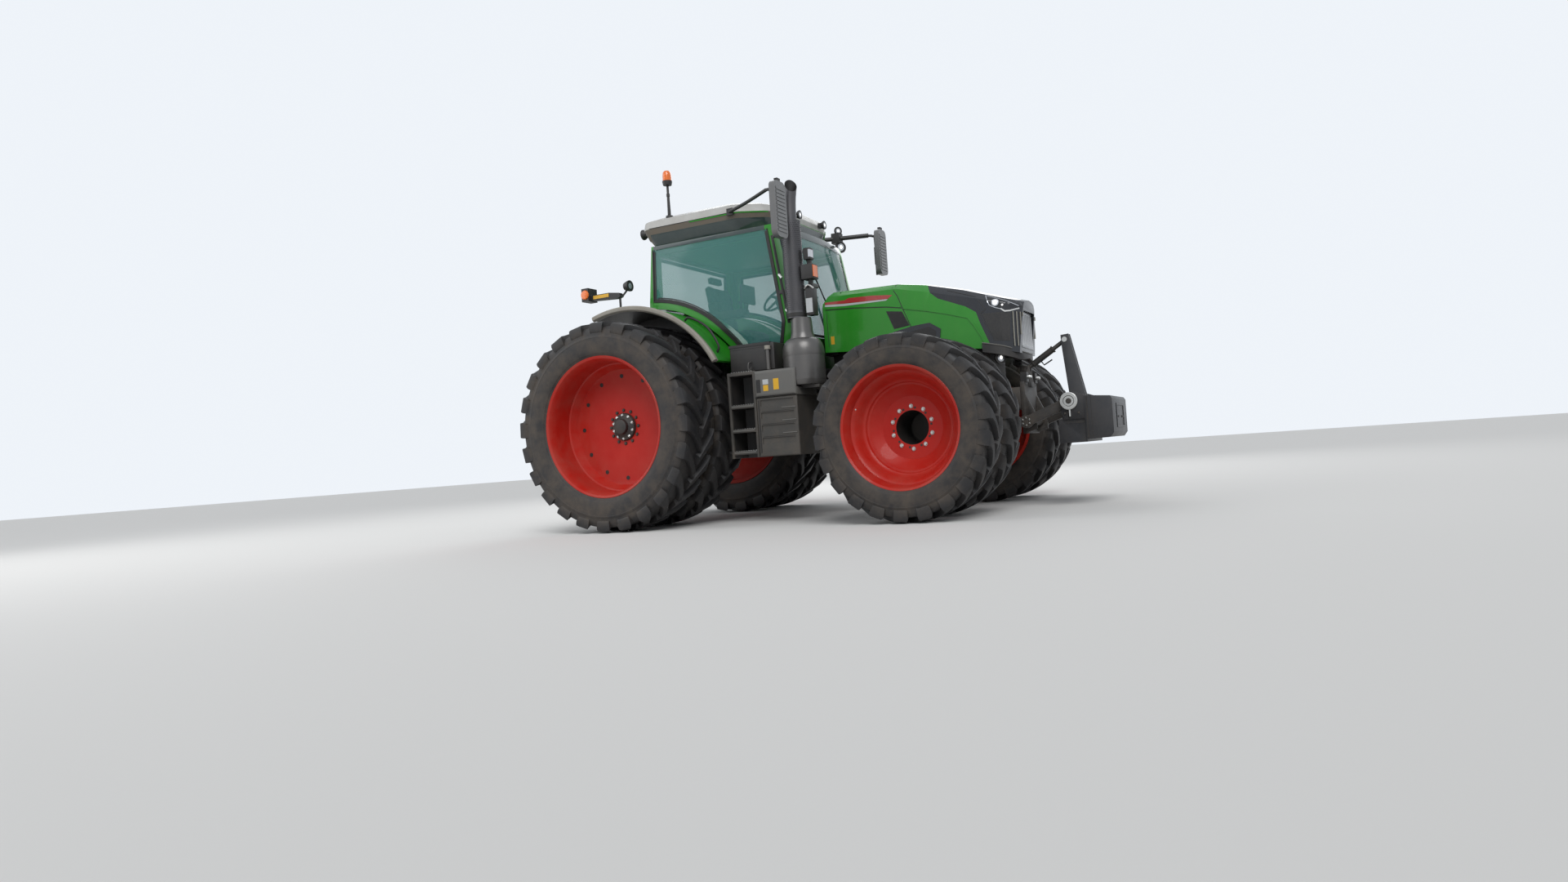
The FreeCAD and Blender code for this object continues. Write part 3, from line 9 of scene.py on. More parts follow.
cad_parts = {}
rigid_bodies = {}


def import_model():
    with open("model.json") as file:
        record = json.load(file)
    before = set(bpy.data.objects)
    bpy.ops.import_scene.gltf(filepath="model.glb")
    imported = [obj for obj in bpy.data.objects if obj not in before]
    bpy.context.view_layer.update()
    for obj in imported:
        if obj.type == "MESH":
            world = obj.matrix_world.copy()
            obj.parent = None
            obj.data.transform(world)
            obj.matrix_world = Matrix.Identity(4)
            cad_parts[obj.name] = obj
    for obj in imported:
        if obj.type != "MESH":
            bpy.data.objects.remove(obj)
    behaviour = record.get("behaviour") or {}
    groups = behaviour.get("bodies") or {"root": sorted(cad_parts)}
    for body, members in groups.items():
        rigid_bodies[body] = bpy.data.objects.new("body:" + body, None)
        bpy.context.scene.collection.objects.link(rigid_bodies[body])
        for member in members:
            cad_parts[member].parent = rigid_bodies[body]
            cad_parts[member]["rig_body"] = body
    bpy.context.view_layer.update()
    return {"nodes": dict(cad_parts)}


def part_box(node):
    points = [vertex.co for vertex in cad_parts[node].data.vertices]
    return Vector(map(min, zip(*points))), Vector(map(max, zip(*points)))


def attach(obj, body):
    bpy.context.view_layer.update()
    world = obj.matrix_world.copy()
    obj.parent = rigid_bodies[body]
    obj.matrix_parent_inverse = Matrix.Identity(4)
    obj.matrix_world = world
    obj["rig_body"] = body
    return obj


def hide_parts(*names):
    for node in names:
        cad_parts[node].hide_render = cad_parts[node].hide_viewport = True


bl_info = {"name": "Farm tractor", "version": (1, 0, 0), "blender": (4, 5, 0),
    "location": "View3D > Sidebar > Tractor",
    "description": "Dresses the farm tractor with its finished pieces, floor, light and camera",
    "category": "Object",}

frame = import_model()


# Places taken from the frame, in metres

def middle(node):
    low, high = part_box(node)
    return (low + high) / 2


AXLE_X = middle("wheel_rear_left").x


def place(node):
    """Corners of a CAD node's box, ahead of the rear axle."""
    low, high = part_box(node)
    shift = Vector((AXLE_X, 0, 0))
    return low - shift, high - shift


FRONT_X = middle("wheel_front_left").x - AXLE_X
REAR_R, FRONT_R = [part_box(node)[1].z / 2 for node in ("tyres_rear_left", "tyres_front_left")]
REAR_IN, REAR_OUT = [corner.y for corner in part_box("tyres_rear_left")]
FRONT_IN, FRONT_OUT = [corner.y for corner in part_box("tyres_front_left")]


# Finishes

def node_of(tree, kind, links=(), **settings):
    """A shader or geometry node with its inputs linked or set."""
    made = tree.nodes.new(kind)
    for key, value in settings.items():
        setattr(made, key, value)
    for socket, value in links:
        target = made.inputs[socket]
        if isinstance(value, bpy.types.NodeSocket):
            tree.links.new(value, target)
        else:
            target.default_value = value
    return made


def maths(tree, operation, *values, clamp=False):
    """Result of a math node."""
    return node_of(tree, "ShaderNodeMath", enumerate(values), operation=operation,
        use_clamp=clamp).outputs[0]


def remap(tree, value, near, far, start, stop):
    """The value, with near to far stretched to start to stop."""
    return node_of(tree, "ShaderNodeMapRange",
        (("Value", value), ("From Min", near), ("From Max", far), ("To Min", start),
        ("To Max", stop))).outputs[0]


def noise(tree, where, scale, detail, rough=0.5):
    return node_of(tree, "ShaderNodeTexNoise",
        (("Vector", where), ("Scale", scale), ("Detail", detail), ("Roughness", rough))).outputs["Fac"]


def blend(tree, share, first, second):
    return node_of(tree, "ShaderNodeMix", ((0, share), (6, first), (7, second)),
        data_type="RGBA").outputs[2]


def surface(name, base, rough=0.5, metal=0.0, coat=0.0, vary=0.25, scale=6.0, dust=0.25, dust_low=0.4,
        grain=180.0, bump=0.06, alpha=1.0, glow=0.0, streak=0.0, around=None, shine=0.5):
    """A finish on object coordinates: cloudy base colour, dust that gathers low down or by the
    distance from a wheel's axle, upright streaks and a fine grain."""
    paint = bpy.context.scene.tractor_paint
    if isinstance(base, str):
        base = getattr(paint, base)
    made = bpy.data.materials.new(name)
    made.use_nodes = True
    tree = made.node_tree
    shader = tree.nodes["Principled BSDF"]
    where = node_of(tree, "ShaderNodeTexCoord").outputs["Object"]
    clouds, speckle = noise(tree, where, scale, 6.0, 0.62), noise(tree, where, grain, 3.0)
    shade = [channel * (1 - vary) for channel in base]
    patchy = blend(tree, clouds, (*shade, 1), (*base, 1))
    parts = node_of(tree, "ShaderNodeSeparateXYZ", ((0, where),)).outputs
    if around:
        x, z, near, near_share, far, far_share = around
        flat = node_of(tree, "ShaderNodeCombineXYZ", (("X", parts["X"]), ("Z", parts["Z"]))).outputs[0]
        reach = node_of(tree, "ShaderNodeVectorMath", ((0, flat), (1, (x + AXLE_X, 0, z))),
            operation="DISTANCE").outputs["Value"]
        gather = remap(tree, reach, near, far, near_share, far_share)
    else:
        gather = remap(tree, parts["Z"], 0.1, 2.2, 1.0, dust_low)
    spread = remap(tree, clouds, 0.36, 0.68, 0.25 * dust, 1.6 * dust)
    cover = maths(tree, "MULTIPLY", gather, spread, clamp=True)
    if streak:
        drawn = node_of(tree, "ShaderNodeMapping",
            (("Vector", where), ("Scale", (16, 16, 1.1)))).outputs[0]
        runs = remap(tree, noise(tree, drawn, 1.0, 5.0), 0.5, 0.75, 0.0, streak)
        cover = maths(tree, "ADD", cover, runs, clamp=True)
    rise = node_of(tree, "ShaderNodeBump",
        (("Height", speckle), ("Strength", bump), ("Distance", 0.002))).outputs[0]
    for socket, value in (("Base Color", blend(tree, cover, patchy, (*paint.dust, 1))),
            ("Roughness", remap(tree, cover, 0.0, 0.7, rough, 0.9)), ("Normal", rise)):
        tree.links.new(value, shader.inputs[socket])
    for socket, value in (("Metallic", metal), ("Coat Weight", coat), ("Coat Roughness", 0.06),
            ("Alpha", alpha), ("Specular IOR Level", shine)):
        shader.inputs[socket].default_value = value
    if glow:
        shader.inputs["Emission Color"].default_value = (*base, 1)
        shader.inputs["Emission Strength"].default_value = glow
    return made


def tint(name, description, *rgb):
    return bpy.props.FloatVectorProperty(name=name, description=description, subtype="COLOR", size=3,
        min=0, max=1, default=rgb)


class TractorPaint(bpy.types.PropertyGroup):
    """Colours of the tractor's finishes"""

    green: tint("Green", "Body paint", 0.02, 0.27, 0.014)
    rim: tint("Rim red", "Wheel rim paint", 0.55, 0.013, 0.006)
    dust: tint("Dust", "Field dust", 0.16, 0.125, 0.092)
    tyre: tint("Rubber", "Tyre rubber", 0.016, 0.017, 0.02)
    black: tint("Black", "Moulded plastic and chassis paint", 0.017, 0.0175, 0.019)
    grey: tint("Charcoal", "Grey side covers and steps", 0.052, 0.051, 0.048)
    roof: tint("Roof", "Roof shell", 0.5, 0.5, 0.48)
    glass: tint("Glass", "Tint of the cab glass", 0.11, 0.36, 0.345)


class TractorWheels(bpy.types.PropertyGroup):
    """Sizes of the tyres and rims"""

    rear_width: bpy.props.FloatProperty(name="Rear tyre width", description="Width of one rear tyre",
        default=0.49, min=0.2, unit="LENGTH")
    front_width: bpy.props.FloatProperty(name="Front tyre width", default=0.39, min=0.2,
        description="Width of one front tyre", unit="LENGTH")
    lug_height: bpy.props.FloatProperty(name="Lug height", description="Height of the tread lugs",
        default=0.048, min=0.01, unit="LENGTH")
    rear_lugs: bpy.props.IntProperty(name="Rear lugs", description="Lugs on each side of a rear tyre",
        default=24, min=8)
    front_lugs: bpy.props.IntProperty(name="Front lugs", default=22, min=8,
        description="Lugs on each side of a front tyre")


class TractorView(bpy.types.PropertyGroup):
    """The camera at the photograph's viewing angle"""

    place: bpy.props.FloatVectorProperty(name="Place", description="Camera ahead of the rear axle",
        size=3, subtype="XYZ", default=(5.9054, -9.2948, 0.6416))
    yaw: bpy.props.FloatProperty(name="Yaw", description="Turn to the left of straight across",
        default=0.4783, subtype="ANGLE")
    pitch: bpy.props.FloatProperty(name="Pitch", description="Upward tilt", default=0.0149,
        subtype="ANGLE")
    roll: bpy.props.FloatProperty(name="Roll", description="Lean of the picture", default=-0.0685,
        subtype="ANGLE")
    lens: bpy.props.FloatProperty(name="Lens", description="Focal length on a 36 mm sensor",
        default=22.144, unit="CAMERA")


# Finishes: the base colour, or the name of a colour in the panel, and what differs from the plain
# settings of surface()
FINISHES = {
    "green_paint": dict(base="green", rough=0.3, coat=0.32, vary=0.22, dust=0.06, dust_low=0.5,
        grain=300, bump=0.012, streak=0.06, shine=0.35),
    "chassis_paint": dict(base="black", rough=0.5, vary=0.35, dust=0.24, bump=0.12, streak=0.06),
    "ballast_paint": dict(base=(0.024, 0.026, 0.031), rough=0.4, vary=0.35, dust=0.07, scale=9,
        dust_low=0.4, bump=0.2, grain=90, streak=0.05),
    "black_plastic": dict(base="black", rough=0.46, vary=0.3, dust=0.1, grain=420, bump=0.18,
        streak=0.04),
    "grey_plastic": dict(base="grey", rough=0.48, vary=0.3, dust=0.22, grain=380, bump=0.15, streak=0.08),
    # lighter grey: the side box's upper cover and light edges, and a painted highlight on the side box's
    # ribs
    "cover_grey": dict(base=(0.135, 0.134, 0.127), rough=0.45, vary=0.2, dust=0.16, grain=380, bump=0.12,
        streak=0.08),
    "mirror_shell": dict(base=(0.155, 0.157, 0.16), rough=0.34, coat=0.3, vary=0.2, dust=0.1, grain=360,
        bump=0.06, streak=0.05),
    "mesh_dark": dict(base=(0.014, 0.015, 0.017), rough=0.55, vary=0.5, scale=40, dust=0.1, grain=700,
        bump=0.9),
    "bright_bar": dict(base=(0.4, 0.41, 0.42), rough=0.3, metal=0.8, vary=0.2, dust=0.1, bump=0.03),
    "bar_khaki": dict(base=(0.3, 0.29, 0.25), rough=0.38, metal=0.3, vary=0.2, dust=0.15, bump=0.03),
    "nose_gloss": dict(base=(0.012, 0.015, 0.022), rough=0.2, coat=0.12, vary=0.3, dust=0.03, grain=300,
        bump=0.01, streak=0.03),
    "smoked_lens": dict(base=(0.01, 0.012, 0.016), rough=0.24, coat=0.04, vary=0.4, dust=0.02, scale=20,
        bump=0.01),
    "smoked_header": dict(base=(0.03, 0.06, 0.062), rough=0.1, coat=0.4, vary=0.45, scale=3, dust=0.1,
        dust_low=0.9, bump=0.0),
    "roof_shell": dict(base="roof", rough=0.4, vary=0.12, dust=0.2, dust_low=0.8, bump=0.05, coat=0.2),
    # brown for the band just below the roof cap's edge: dust, and painted shade under the cap
    "roof_dust_and_shade": dict(base=(0.13, 0.115, 0.09), rough=0.5, vary=0.25, dust=0.4, dust_low=0.9, bump=0.05,
        streak=0.1),
    "lip_grey": dict(base=(0.36, 0.345, 0.3), rough=0.5, coat=0.15, vary=0.25, dust=0.3, dust_low=0.9,
        bump=0.08, streak=0.1),
    "canister_grey": dict(base=(0.125, 0.122, 0.12), rough=0.3, metal=0.55, vary=0.25, dust=0.1,
        bump=0.05, streak=0.06),
    "shield_metal": dict(base=(0.11, 0.11, 0.118), rough=0.38, metal=0.7, vary=0.3, dust=0.12, bump=0.05),
    "bright_metal": dict(base=(0.58, 0.58, 0.56), rough=0.28, metal=1.0, vary=0.15, dust=0.06, bump=0.03),
    "lamp_glass": dict(base=(0.62, 0.64, 0.68), rough=0.08, metal=0.5, coat=1.0, vary=0.3, dust=0.02,
        scale=30, bump=0.02),
    "lamp_glow": dict(base=(1.0, 0.98, 0.94), rough=0.2, vary=0.0, dust=0.0, glow=1.0, bump=0.0),
    "amber_lens": dict(base=(0.86, 0.17, 0.004), rough=0.14, coat=0.5, vary=0.15, dust=0.03, grain=160,
        bump=0.2, glow=0.05),
    "red_lens": dict(base=(0.5, 0.012, 0.01), rough=0.14, coat=1.0, vary=0.15, dust=0.03, grain=160,
        bump=0.2),
    "red_stripe": dict(base=(0.4, 0.03, 0.03), rough=0.25, coat=0.6, vary=0.1, dust=0.05, bump=0.01),
    "silver_stripe": dict(base=(0.5, 0.52, 0.53), rough=0.25, coat=0.6, vary=0.1, dust=0.05, bump=0.01),
    "yellow_plate": dict(base=(0.75, 0.42, 0.02), rough=0.35, vary=0.1, dust=0.08, bump=0.02),
    "seat_cloth": dict(base=(0.055, 0.057, 0.062), rough=0.9, vary=0.35, scale=60, dust=0.05, grain=900,
        bump=0.6),
    "screen_glass": dict(base=(0.01, 0.014, 0.02), rough=0.08, coat=0.8, vary=0.3, dust=0.02, bump=0.01),
    "trim_black": dict(base=(0.012, 0.012, 0.013), rough=0.55, vary=0.2, dust=0.1, bump=0.05),
    "cab_glazing": dict(base="glass", rough=0.04, coat=0.6, vary=0.1, scale=1.5, dust=0.06, dust_low=0.4,
        bump=0.0, alpha=0.34),
}

# Dust gathers by the distance from a wheel's axle: on the rim towards its flange, and on the tyre's wall
for axle, x, radius, flange in (("rear", 0.0, REAR_R, 0.7), ("front", FRONT_X, FRONT_R, 0.54)):
    FINISHES["rim_paint_" + axle] = dict(base="rim", rough=0.42, coat=0.12, vary=0.32, dust=0.16, scale=5,
        bump=0.03, around=(x, radius, 0.4 * flange, 0.3, flange, 1.2), shine=0.22)
    FINISHES["tyre_rubber_" + axle] = dict(base="tyre", rough=0.5, vary=0.4, dust=0.24, scale=7,
        grain=110, bump=0.3, around=(x, radius, radius - 0.115, 1.0, radius - 0.04, 0.28), shine=0.4)

# The four finishes used most
PLASTIC, TRIM, METAL, CHASSIS = "black_plastic", "trim_black", "bright_metal", "chassis_paint"


def material(name):
    """The finish of that name, made when it is first asked for."""
    return bpy.data.materials.get(name) or surface(name, **FINISHES[name])


# Mesh making: points are metres ahead of the rear axle, to the left and up from the ground

TINY = 1e-5  # points closer than this are one
ROUND = 96  # steps round a wheel
FOOT = 0.003  # how far trims reach below the skin they lie on
ZERO = (0.0, 0.0, 0.0)
VIEWS = ("right", "left")
SIDES = tuple(zip((-1, 1), VIEWS))


class Form:
    """A mesh in the making, with the finishes that its faces take."""

    def __init__(self, *finishes):
        self.mesh = bmesh.new()
        self.finishes = list(finishes)
        self.layer = 0

    def use(self, finish):
        if finish not in self.finishes:
            self.finishes.append(finish)
        self.layer = self.finishes.index(finish)
        return self

    def face(self, corners):
        if len(set(corners)) > 2:
            try:
                self.mesh.faces.new(corners).material_index = self.layer
            except ValueError:
                pass

    def skin(self, rings, ends=True):
        """Faces between closed rows of points of equal length."""
        rows = [[self.mesh.verts.new(p) for p in ring] for ring in rings]
        count = len(rows[0])
        for near, far in zip(rows, rows[1:]):
            for i in range(count):
                j = (i + 1) % count
                self.face((near[i], near[j], far[j], far[i]))
        if ends:
            self.face(rows[0])
            self.face(rows[-1][::-1])
        return rows

    def turn(self, profile, centre, axis="y", steps=48, loop=False):
        """Profile of (along, radius) turned about an axis through centre."""
        cx, cy, cz = centre
        rings = []
        if not loop:
            profile = [(profile[0][0], 0)] + list(profile) + [(profile[-1][0], 0)]
        for along, radius in profile:
            ring = []
            for k in range(steps):
                s, c = math.sin(math.tau * k / steps), math.cos(math.tau * k / steps)
                ring.append({"y": (cx + radius * s, cy + along, cz + radius * c),
                    "z": (cx + radius * c, cy + radius * s, cz + along),
                    "x": (cx + along, cy + radius * c, cz + radius * s)}[axis])
            rings.append(ring)
        self.skin(rings + [rings[0]] if loop else rings, ends=False)

    def prism(self, outline, plane, near, far, edge=0.0, steps=2):
        """Outline in a plane ("xz", "yz" or "xy") made solid from near to far, its edges rounded."""
        def lift(point, depth):
            u, v = point
            return {"xz": (u, depth, v), "yz": (depth, u, v), "xy": (u, v, depth)}[plane]
        rows = self.skin([[lift(p, near) for p in outline], [lift(p, far) for p in outline]])
        if edge:
            self.round_off([v for row in rows for v in row], edge, steps)

    def block(self, low, high, edge=0.006, steps=2):
        (x0, x1), (y0, y1), (z0, z1) = (sorted(pair) for pair in zip(low, high))
        self.prism([(x0, z0), (x1, z0), (x1, z1), (x0, z1)], "xz", y0, y1, edge, steps)

    def round_off(self, corners, edge, steps=2, sharp=30):
        own = set(corners)
        edges = [e for v in own for e in v.link_edges if e.verts[0] in own and e.verts[1] in own]
        edges = [e for e in set(edges) if len(e.link_faces) == 2
            and e.calc_face_angle(0) > math.radians(sharp)]
        bmesh.ops.bevel(self.mesh, geom=edges, offset=edge, offset_type="OFFSET", segments=steps,
            profile=0.5, affect="EDGES", clamp_overlap=True)

    def pipe(self, path, radius, sides=12, smooth=0):
        """Round bar along a path; smooth adds points on a curve through the given ones."""
        points = curve_through(path, smooth) if smooth else [Vector(p) for p in path]
        rings, side = [], None
        for i, point in enumerate(points):
            ahead = points[min(i + 1, len(points) - 1)] - points[max(i - 1, 0)]
            ahead.normalize()
            if side is None:
                side = ahead.orthogonal().normalized()
            side = (side - ahead * side.dot(ahead)).normalized()
            up = ahead.cross(side)
            rings.append([point + radius * (
                side * math.cos(math.tau * k / sides) + up * math.sin(math.tau * k / sides))
                for k in range(sides)])
        self.skin(rings)

    def add_mesh(self, mesh):
        before = set(self.mesh.faces)
        self.mesh.from_mesh(mesh)
        for face in set(self.mesh.faces) - before:
            face.material_index = self.layer

    def to_mesh(self, name, shift=0.0, sharp=34):
        work = self.mesh
        bmesh.ops.remove_doubles(work, verts=work.verts, dist=TINY)
        bmesh.ops.dissolve_degenerate(work, edges=work.edges, dist=TINY)
        solid = work.faces.layers.int.get("solid")
        own = [f for f in work.faces if not (solid and f[solid])]
        bmesh.ops.recalc_face_normals(work, faces=own)
        for face in work.faces:
            face.smooth = True
        for edge in work.edges:
            if len(edge.link_faces) != 2 or edge.calc_face_angle(0) > math.radians(sharp):
                edge.smooth = False
        made = bpy.data.meshes.new(name)
        work.to_mesh(made)
        work.free()
        made.transform(Matrix.Translation((shift, 0, 0)))
        for finish in self.finishes:
            made.materials.append(material(finish))
        return made

    def ribbon(self, skin, path, view, width, lift=0.002, loop=False):
        """Flat strip along a path of (u, v) points, laid on a skin seen from one side."""
        points = [Vector(p) for p in path] + ([Vector(path[0])] if loop else [])
        spots = []
        for a, b in zip(points, points[1:]):
            count = max(1, round((b - a).length / 0.035))
            spots += [a + (b - a) * k / count for k in range(count)]
        met = [skin.at(p, view) for p in spots + ([] if loop else points[-1:])]
        met = [m for m in met if m]
        rings, last = [], len(met) - 1
        for i, (spot, out) in enumerate(met):
            before = met[i - 1] if i or loop else met[0]
            after = met[(i + 1) % len(met)] if i < last or loop else met[last]
            out = (before[1] + out + after[1]).normalized()
            runs = [r.normalized() for r in (spot - before[0], after[0] - spot) if r.length > 1e-6]
            ahead = sum(runs, Vector())
            turn = ahead.length / len(runs)
            across = out.cross(ahead).normalized() * width / 2 / max(turn, 0.6)
            top, foot = out * lift, out * (FOOT + max(0.0, -4 * lift))
            rings.append([spot + across + top, spot - across + top, spot - across - foot,
                spot + across - foot])
        if len(rings) > 1:
            self.skin(rings + rings[:1] if loop else rings, ends=not loop)

    def plate(self, skin, outline, view, lift=0.002, cell=0.04):
        """Thin plate over an outline of (u, v) points, laid on a skin seen from one side."""
        flat = bmesh.new()
        flat.faces.new([flat.verts.new((u, v, 0)) for u, v in outline])
        bmesh.ops.triangulate(flat, faces=flat.faces)
        for axis in (0, 1):
            span = [p[axis] for p in outline]
            way = Vector((1, 0, 0)) if axis == 0 else Vector((0, 1, 0))
            for k in range(math.ceil(min(span) / cell), math.floor(max(span) / cell) + 1):
                bmesh.ops.bisect_plane(flat, geom=flat.verts[:] + flat.edges[:] + flat.faces[:],
                    plane_co=way * k * cell, plane_no=way, dist=TINY)
        tops, lows = {}, {}
        for vert in flat.verts:
            met = skin.at(vert.co.xy, view)
            if met:
                tops[vert] = self.mesh.verts.new(met[0] + met[1] * lift)
                lows[vert] = self.mesh.verts.new(met[0] - met[1] * (FOOT + lift / 8))
        for face in flat.faces:
            if all(v in tops for v in face.verts):
                self.face([tops[v] for v in face.verts])
                self.face([lows[v] for v in face.verts][::-1])
        for edge in flat.edges:
            a, b = edge.verts
            if edge.is_boundary and a in tops and b in tops:
                self.face([tops[a], tops[b], lows[b], lows[a]])
        flat.free()

    def lay(self, skin, view, *rows):
        """Rows of finish, width, lift and points: ribbons, and plates where the width is 0."""
        for finish, width, lift, *points in rows:
            if width:
                self.use(finish).ribbon(skin, points, view, width, lift)
            else:
                self.use(finish).plate(skin, points, view, lift)

    def ring(self, item, count, centre):
        """Adds copies of an item turned about the y axis through a centre; the item is used up."""
        self.use(item.finishes[item.layer])
        self.add_mesh(repeated(item, ring_tree(), Count=count, Centre=centre))

    def grid(self, item, across, rows, step, row_step=ZERO, stagger=0.0):
        """Adds rows of an item; the item is used up."""
        self.use(item.finishes[item.layer])
        self.add_mesh(repeated(item, grid_tree(), Across=across, Rows=rows, Step=step, Row_step=row_step,
            Stagger=stagger))

    def zone(self, finish, test):
        """Gives a finish to the faces whose middle and normal pass a test."""
        self.use(finish)
        for face in self.mesh.faces:
            if test(face.calc_center_median(), face.normal):
                face.material_index = self.layer

    def split(self, axis, *heights):
        """Cuts the faces across an axis, so that zones can end there."""
        way = Vector([float(name == axis) for name in "xyz"])
        work = self.mesh
        for height in heights:
            bmesh.ops.bisect_plane(work, geom=work.verts[:] + work.edges[:] + work.faces[:],
                plane_co=way * height, plane_no=way, dist=TINY)
        work.normal_update()

    def finish(self, name, body, slot, replaces=(), sharp=34):
        made = bpy.data.objects.new(name, self.to_mesh(name, AXLE_X, sharp))
        return seat(made, body, replaces)

    def finish_wheels(self, piece, axle, node, sharp):
        """The finished piece on an axle's left wheel, and mirrored on the right one."""
        plain = self.to_mesh(piece, AXLE_X, sharp)
        for side, mesh in (("left", plain), ("right", plain.copy())):
            if side == "right":
                mesh.transform(Matrix.Diagonal((1, -1, 1, 1)))
                mesh.flip_normals()
            label = "_%s_%s" % (axle, side)
            made = bpy.data.objects.new(piece + label, mesh)
            seat(made, "wheel" + label, (node + label,))

    def finish_node(self, name, node, slot, sharp=34):
        """The finished piece stands for a CAD node, on that node's body."""
        return self.finish(name, frame["nodes"][node]["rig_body"], slot, (node,), sharp)


class Surface:
    """Outside of CAD nodes, met along a straight view from one side."""

    def __init__(self, *nodes):
        mesh = bmesh.new()
        for node in nodes:
            mesh.from_mesh(frame["nodes"][node].data)
        bmesh.ops.translate(mesh, verts=mesh.verts, vec=(-AXLE_X, 0, 0))
        self.tree = BVHTree.FromBMesh(mesh)
        mesh.free()

    def at(self, point, view):
        """Point and outward normal met at (u, v), or None."""
        u, v = point
        start, way = {"right": ((u, -9, v), (0, 1, 0)), "left": ((u, 9, v), (0, -1, 0)),
            "front": ((9, u, v), (-1, 0, 0)), "back": ((-9, u, v), (1, 0, 0)),
            "top": ((u, v, 9), (0, 0, -1))}[view]
        spot, out = self.tree.ray_cast(Vector(start), Vector(way))[:2]
        if spot is None:
            return None
        return spot, -out if out.dot(Vector(way)) > 0 else out


def seat(made, body, replaces=()):
    """Puts a piece into the scene, on its body, and hides the CAD nodes that it replaces."""
    if made.name not in bpy.context.scene.collection.objects:
        bpy.context.scene.collection.objects.link(made)
    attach(made, body)
    if replaces:
        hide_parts(*replaces)
    return made


def curve_through(path, steps):
    """Points on a smooth curve through the given ones."""
    given = [Vector(p) for p in path]
    ends = [given[0] * 2 - given[1]] + given + [given[-1] * 2 - given[-2]]
    points = []
    for a, b, c, d in zip(ends, ends[1:], ends[2:], ends[3:]):
        for k in range(steps):
            t = k / steps
            spot = 2 * b + (c - a) * t + (2 * a - 5 * b + 4 * c - d) * t * t
            points.append(0.5 * (spot + (3 * b - a - 3 * c + d) * t ** 3))
    return points + [given[-1]]


def arc_points(centre, radius, start, stop, steps):
    """(u, v) points of an arc; angles in degrees from u towards v."""
    turns = [math.radians(start + (stop - start) * k / steps) for k in range(steps + 1)]
    return [(centre[0] + radius * math.cos(t), centre[1] + radius * math.sin(t)) for t in turns]


def casting(node, finish, edge=0.004, steps=2, sharp=30):
    """A CAD node's own form with its faces merged and its edges rounded."""
    form = Form(finish)
    work = form.mesh
    work.from_mesh(frame["nodes"][node].data)
    bmesh.ops.translate(work, verts=work.verts, vec=(-AXLE_X, 0, 0))
    bmesh.ops.remove_doubles(work, verts=work.verts, dist=2e-5)
    bmesh.ops.dissolve_limit(work, angle_limit=math.radians(0.7), verts=work.verts, edges=work.edges)
    solid = work.faces.layers.int.new("solid")
    for face in work.faces:
        face.material_index = 0
        face[solid] = 1
    if edge:
        form.round_off(list(work.verts), edge, steps, sharp)
    work.normal_update()
    return form


def round_lamp(form, spot, radius, aim, lit=True):
    """Round work lamp: housing, rim, lens and bulb, its face turned towards aim."""
    depth = radius * 0.9
    turn = Vector((1, 0, 0)).rotation_difference(Vector(aim)).to_matrix().to_4x4()
    # outlines of shares: of the depth from the face, and of the radius
    parts = [
        (PLASTIC, 32, ((-1, 0), (-0.9, 0.55), (-0.2, 0.96), (0, 1), (0.15, 1), (0.15, 0.86))),
        ("lamp_glass", 32, ((0.1, 0.86), (0.17, 0.5), (0.19, 0)))]
    if lit:
        parts.append(("lamp_glow", 16, ((0.18, 0.3), (0.22, 0))))
    for finish, steps, outline in parts:
        part = Form(finish)
        part.turn([(along * depth, reach * radius) for along, reach in outline], ZERO, "x", steps)
        mesh = bpy.data.meshes.new("lamp")
        part.mesh.to_mesh(mesh)
        part.mesh.free()
        mesh.transform(Matrix.Translation(Vector(spot)) @ turn)
        form.use(finish).add_mesh(mesh)
        bpy.data.meshes.remove(mesh)


# Repeats by geometry nodes

def repeat_tree(name, sockets, build):
    """A node group with named inputs; build returns the points, their turn and the item."""
    tree = bpy.data.node_groups.get(name)
    if tree:
        return tree
    tree = bpy.data.node_groups.new(name, "GeometryNodeTree")
    tree.interface.new_socket("Geometry", in_out="INPUT", socket_type="NodeSocketGeometry")
    for label, kind in sockets + (("Finish", "NodeSocketMaterial"),):
        tree.interface.new_socket(label, in_out="INPUT", socket_type=kind)
    tree.interface.new_socket("Geometry", in_out="OUTPUT", socket_type="NodeSocketGeometry")
    inlet = node_of(tree, "NodeGroupInput").outputs
    points, turn, item = build(tree, inlet)
    spread = node_of(tree, "GeometryNodeInstanceOnPoints",
        (("Points", points), ("Instance", item), ("Rotation", turn))).outputs[0]
    real = node_of(tree, "GeometryNodeRealizeInstances", (("Geometry", spread),)).outputs[0]
    painted = node_of(tree, "GeometryNodeSetMaterial",
        (("Geometry", real), ("Material", inlet["Finish"]))).outputs[0]
    node_of(tree, "NodeGroupOutput", (("Geometry", painted),))
    return tree


def points_at(tree, count, place):
    return node_of(tree, "GeometryNodePoints", (("Count", count), ("Position", place))).outputs[0]


def vector(tree, axis, value):
    return node_of(tree, "ShaderNodeCombineXYZ", ((axis, value),)).outputs[0]


def vector_maths(tree, operation, first, socket, second):
    return node_of(tree, "ShaderNodeVectorMath", ((0, first), (socket, second)),
        operation=operation).outputs[0]


def index_of(tree):
    return node_of(tree, "GeometryNodeInputIndex").outputs[0]


def drawn_to(tree, inlet):
    """The item, moved so that the centre it turns about is the origin."""
    back = vector_maths(tree, "SCALE", inlet["Centre"], 3, -1.0)
    return node_of(tree, "GeometryNodeTransform",
        (("Geometry", inlet["Geometry"]), ("Translation", back))).outputs[0]


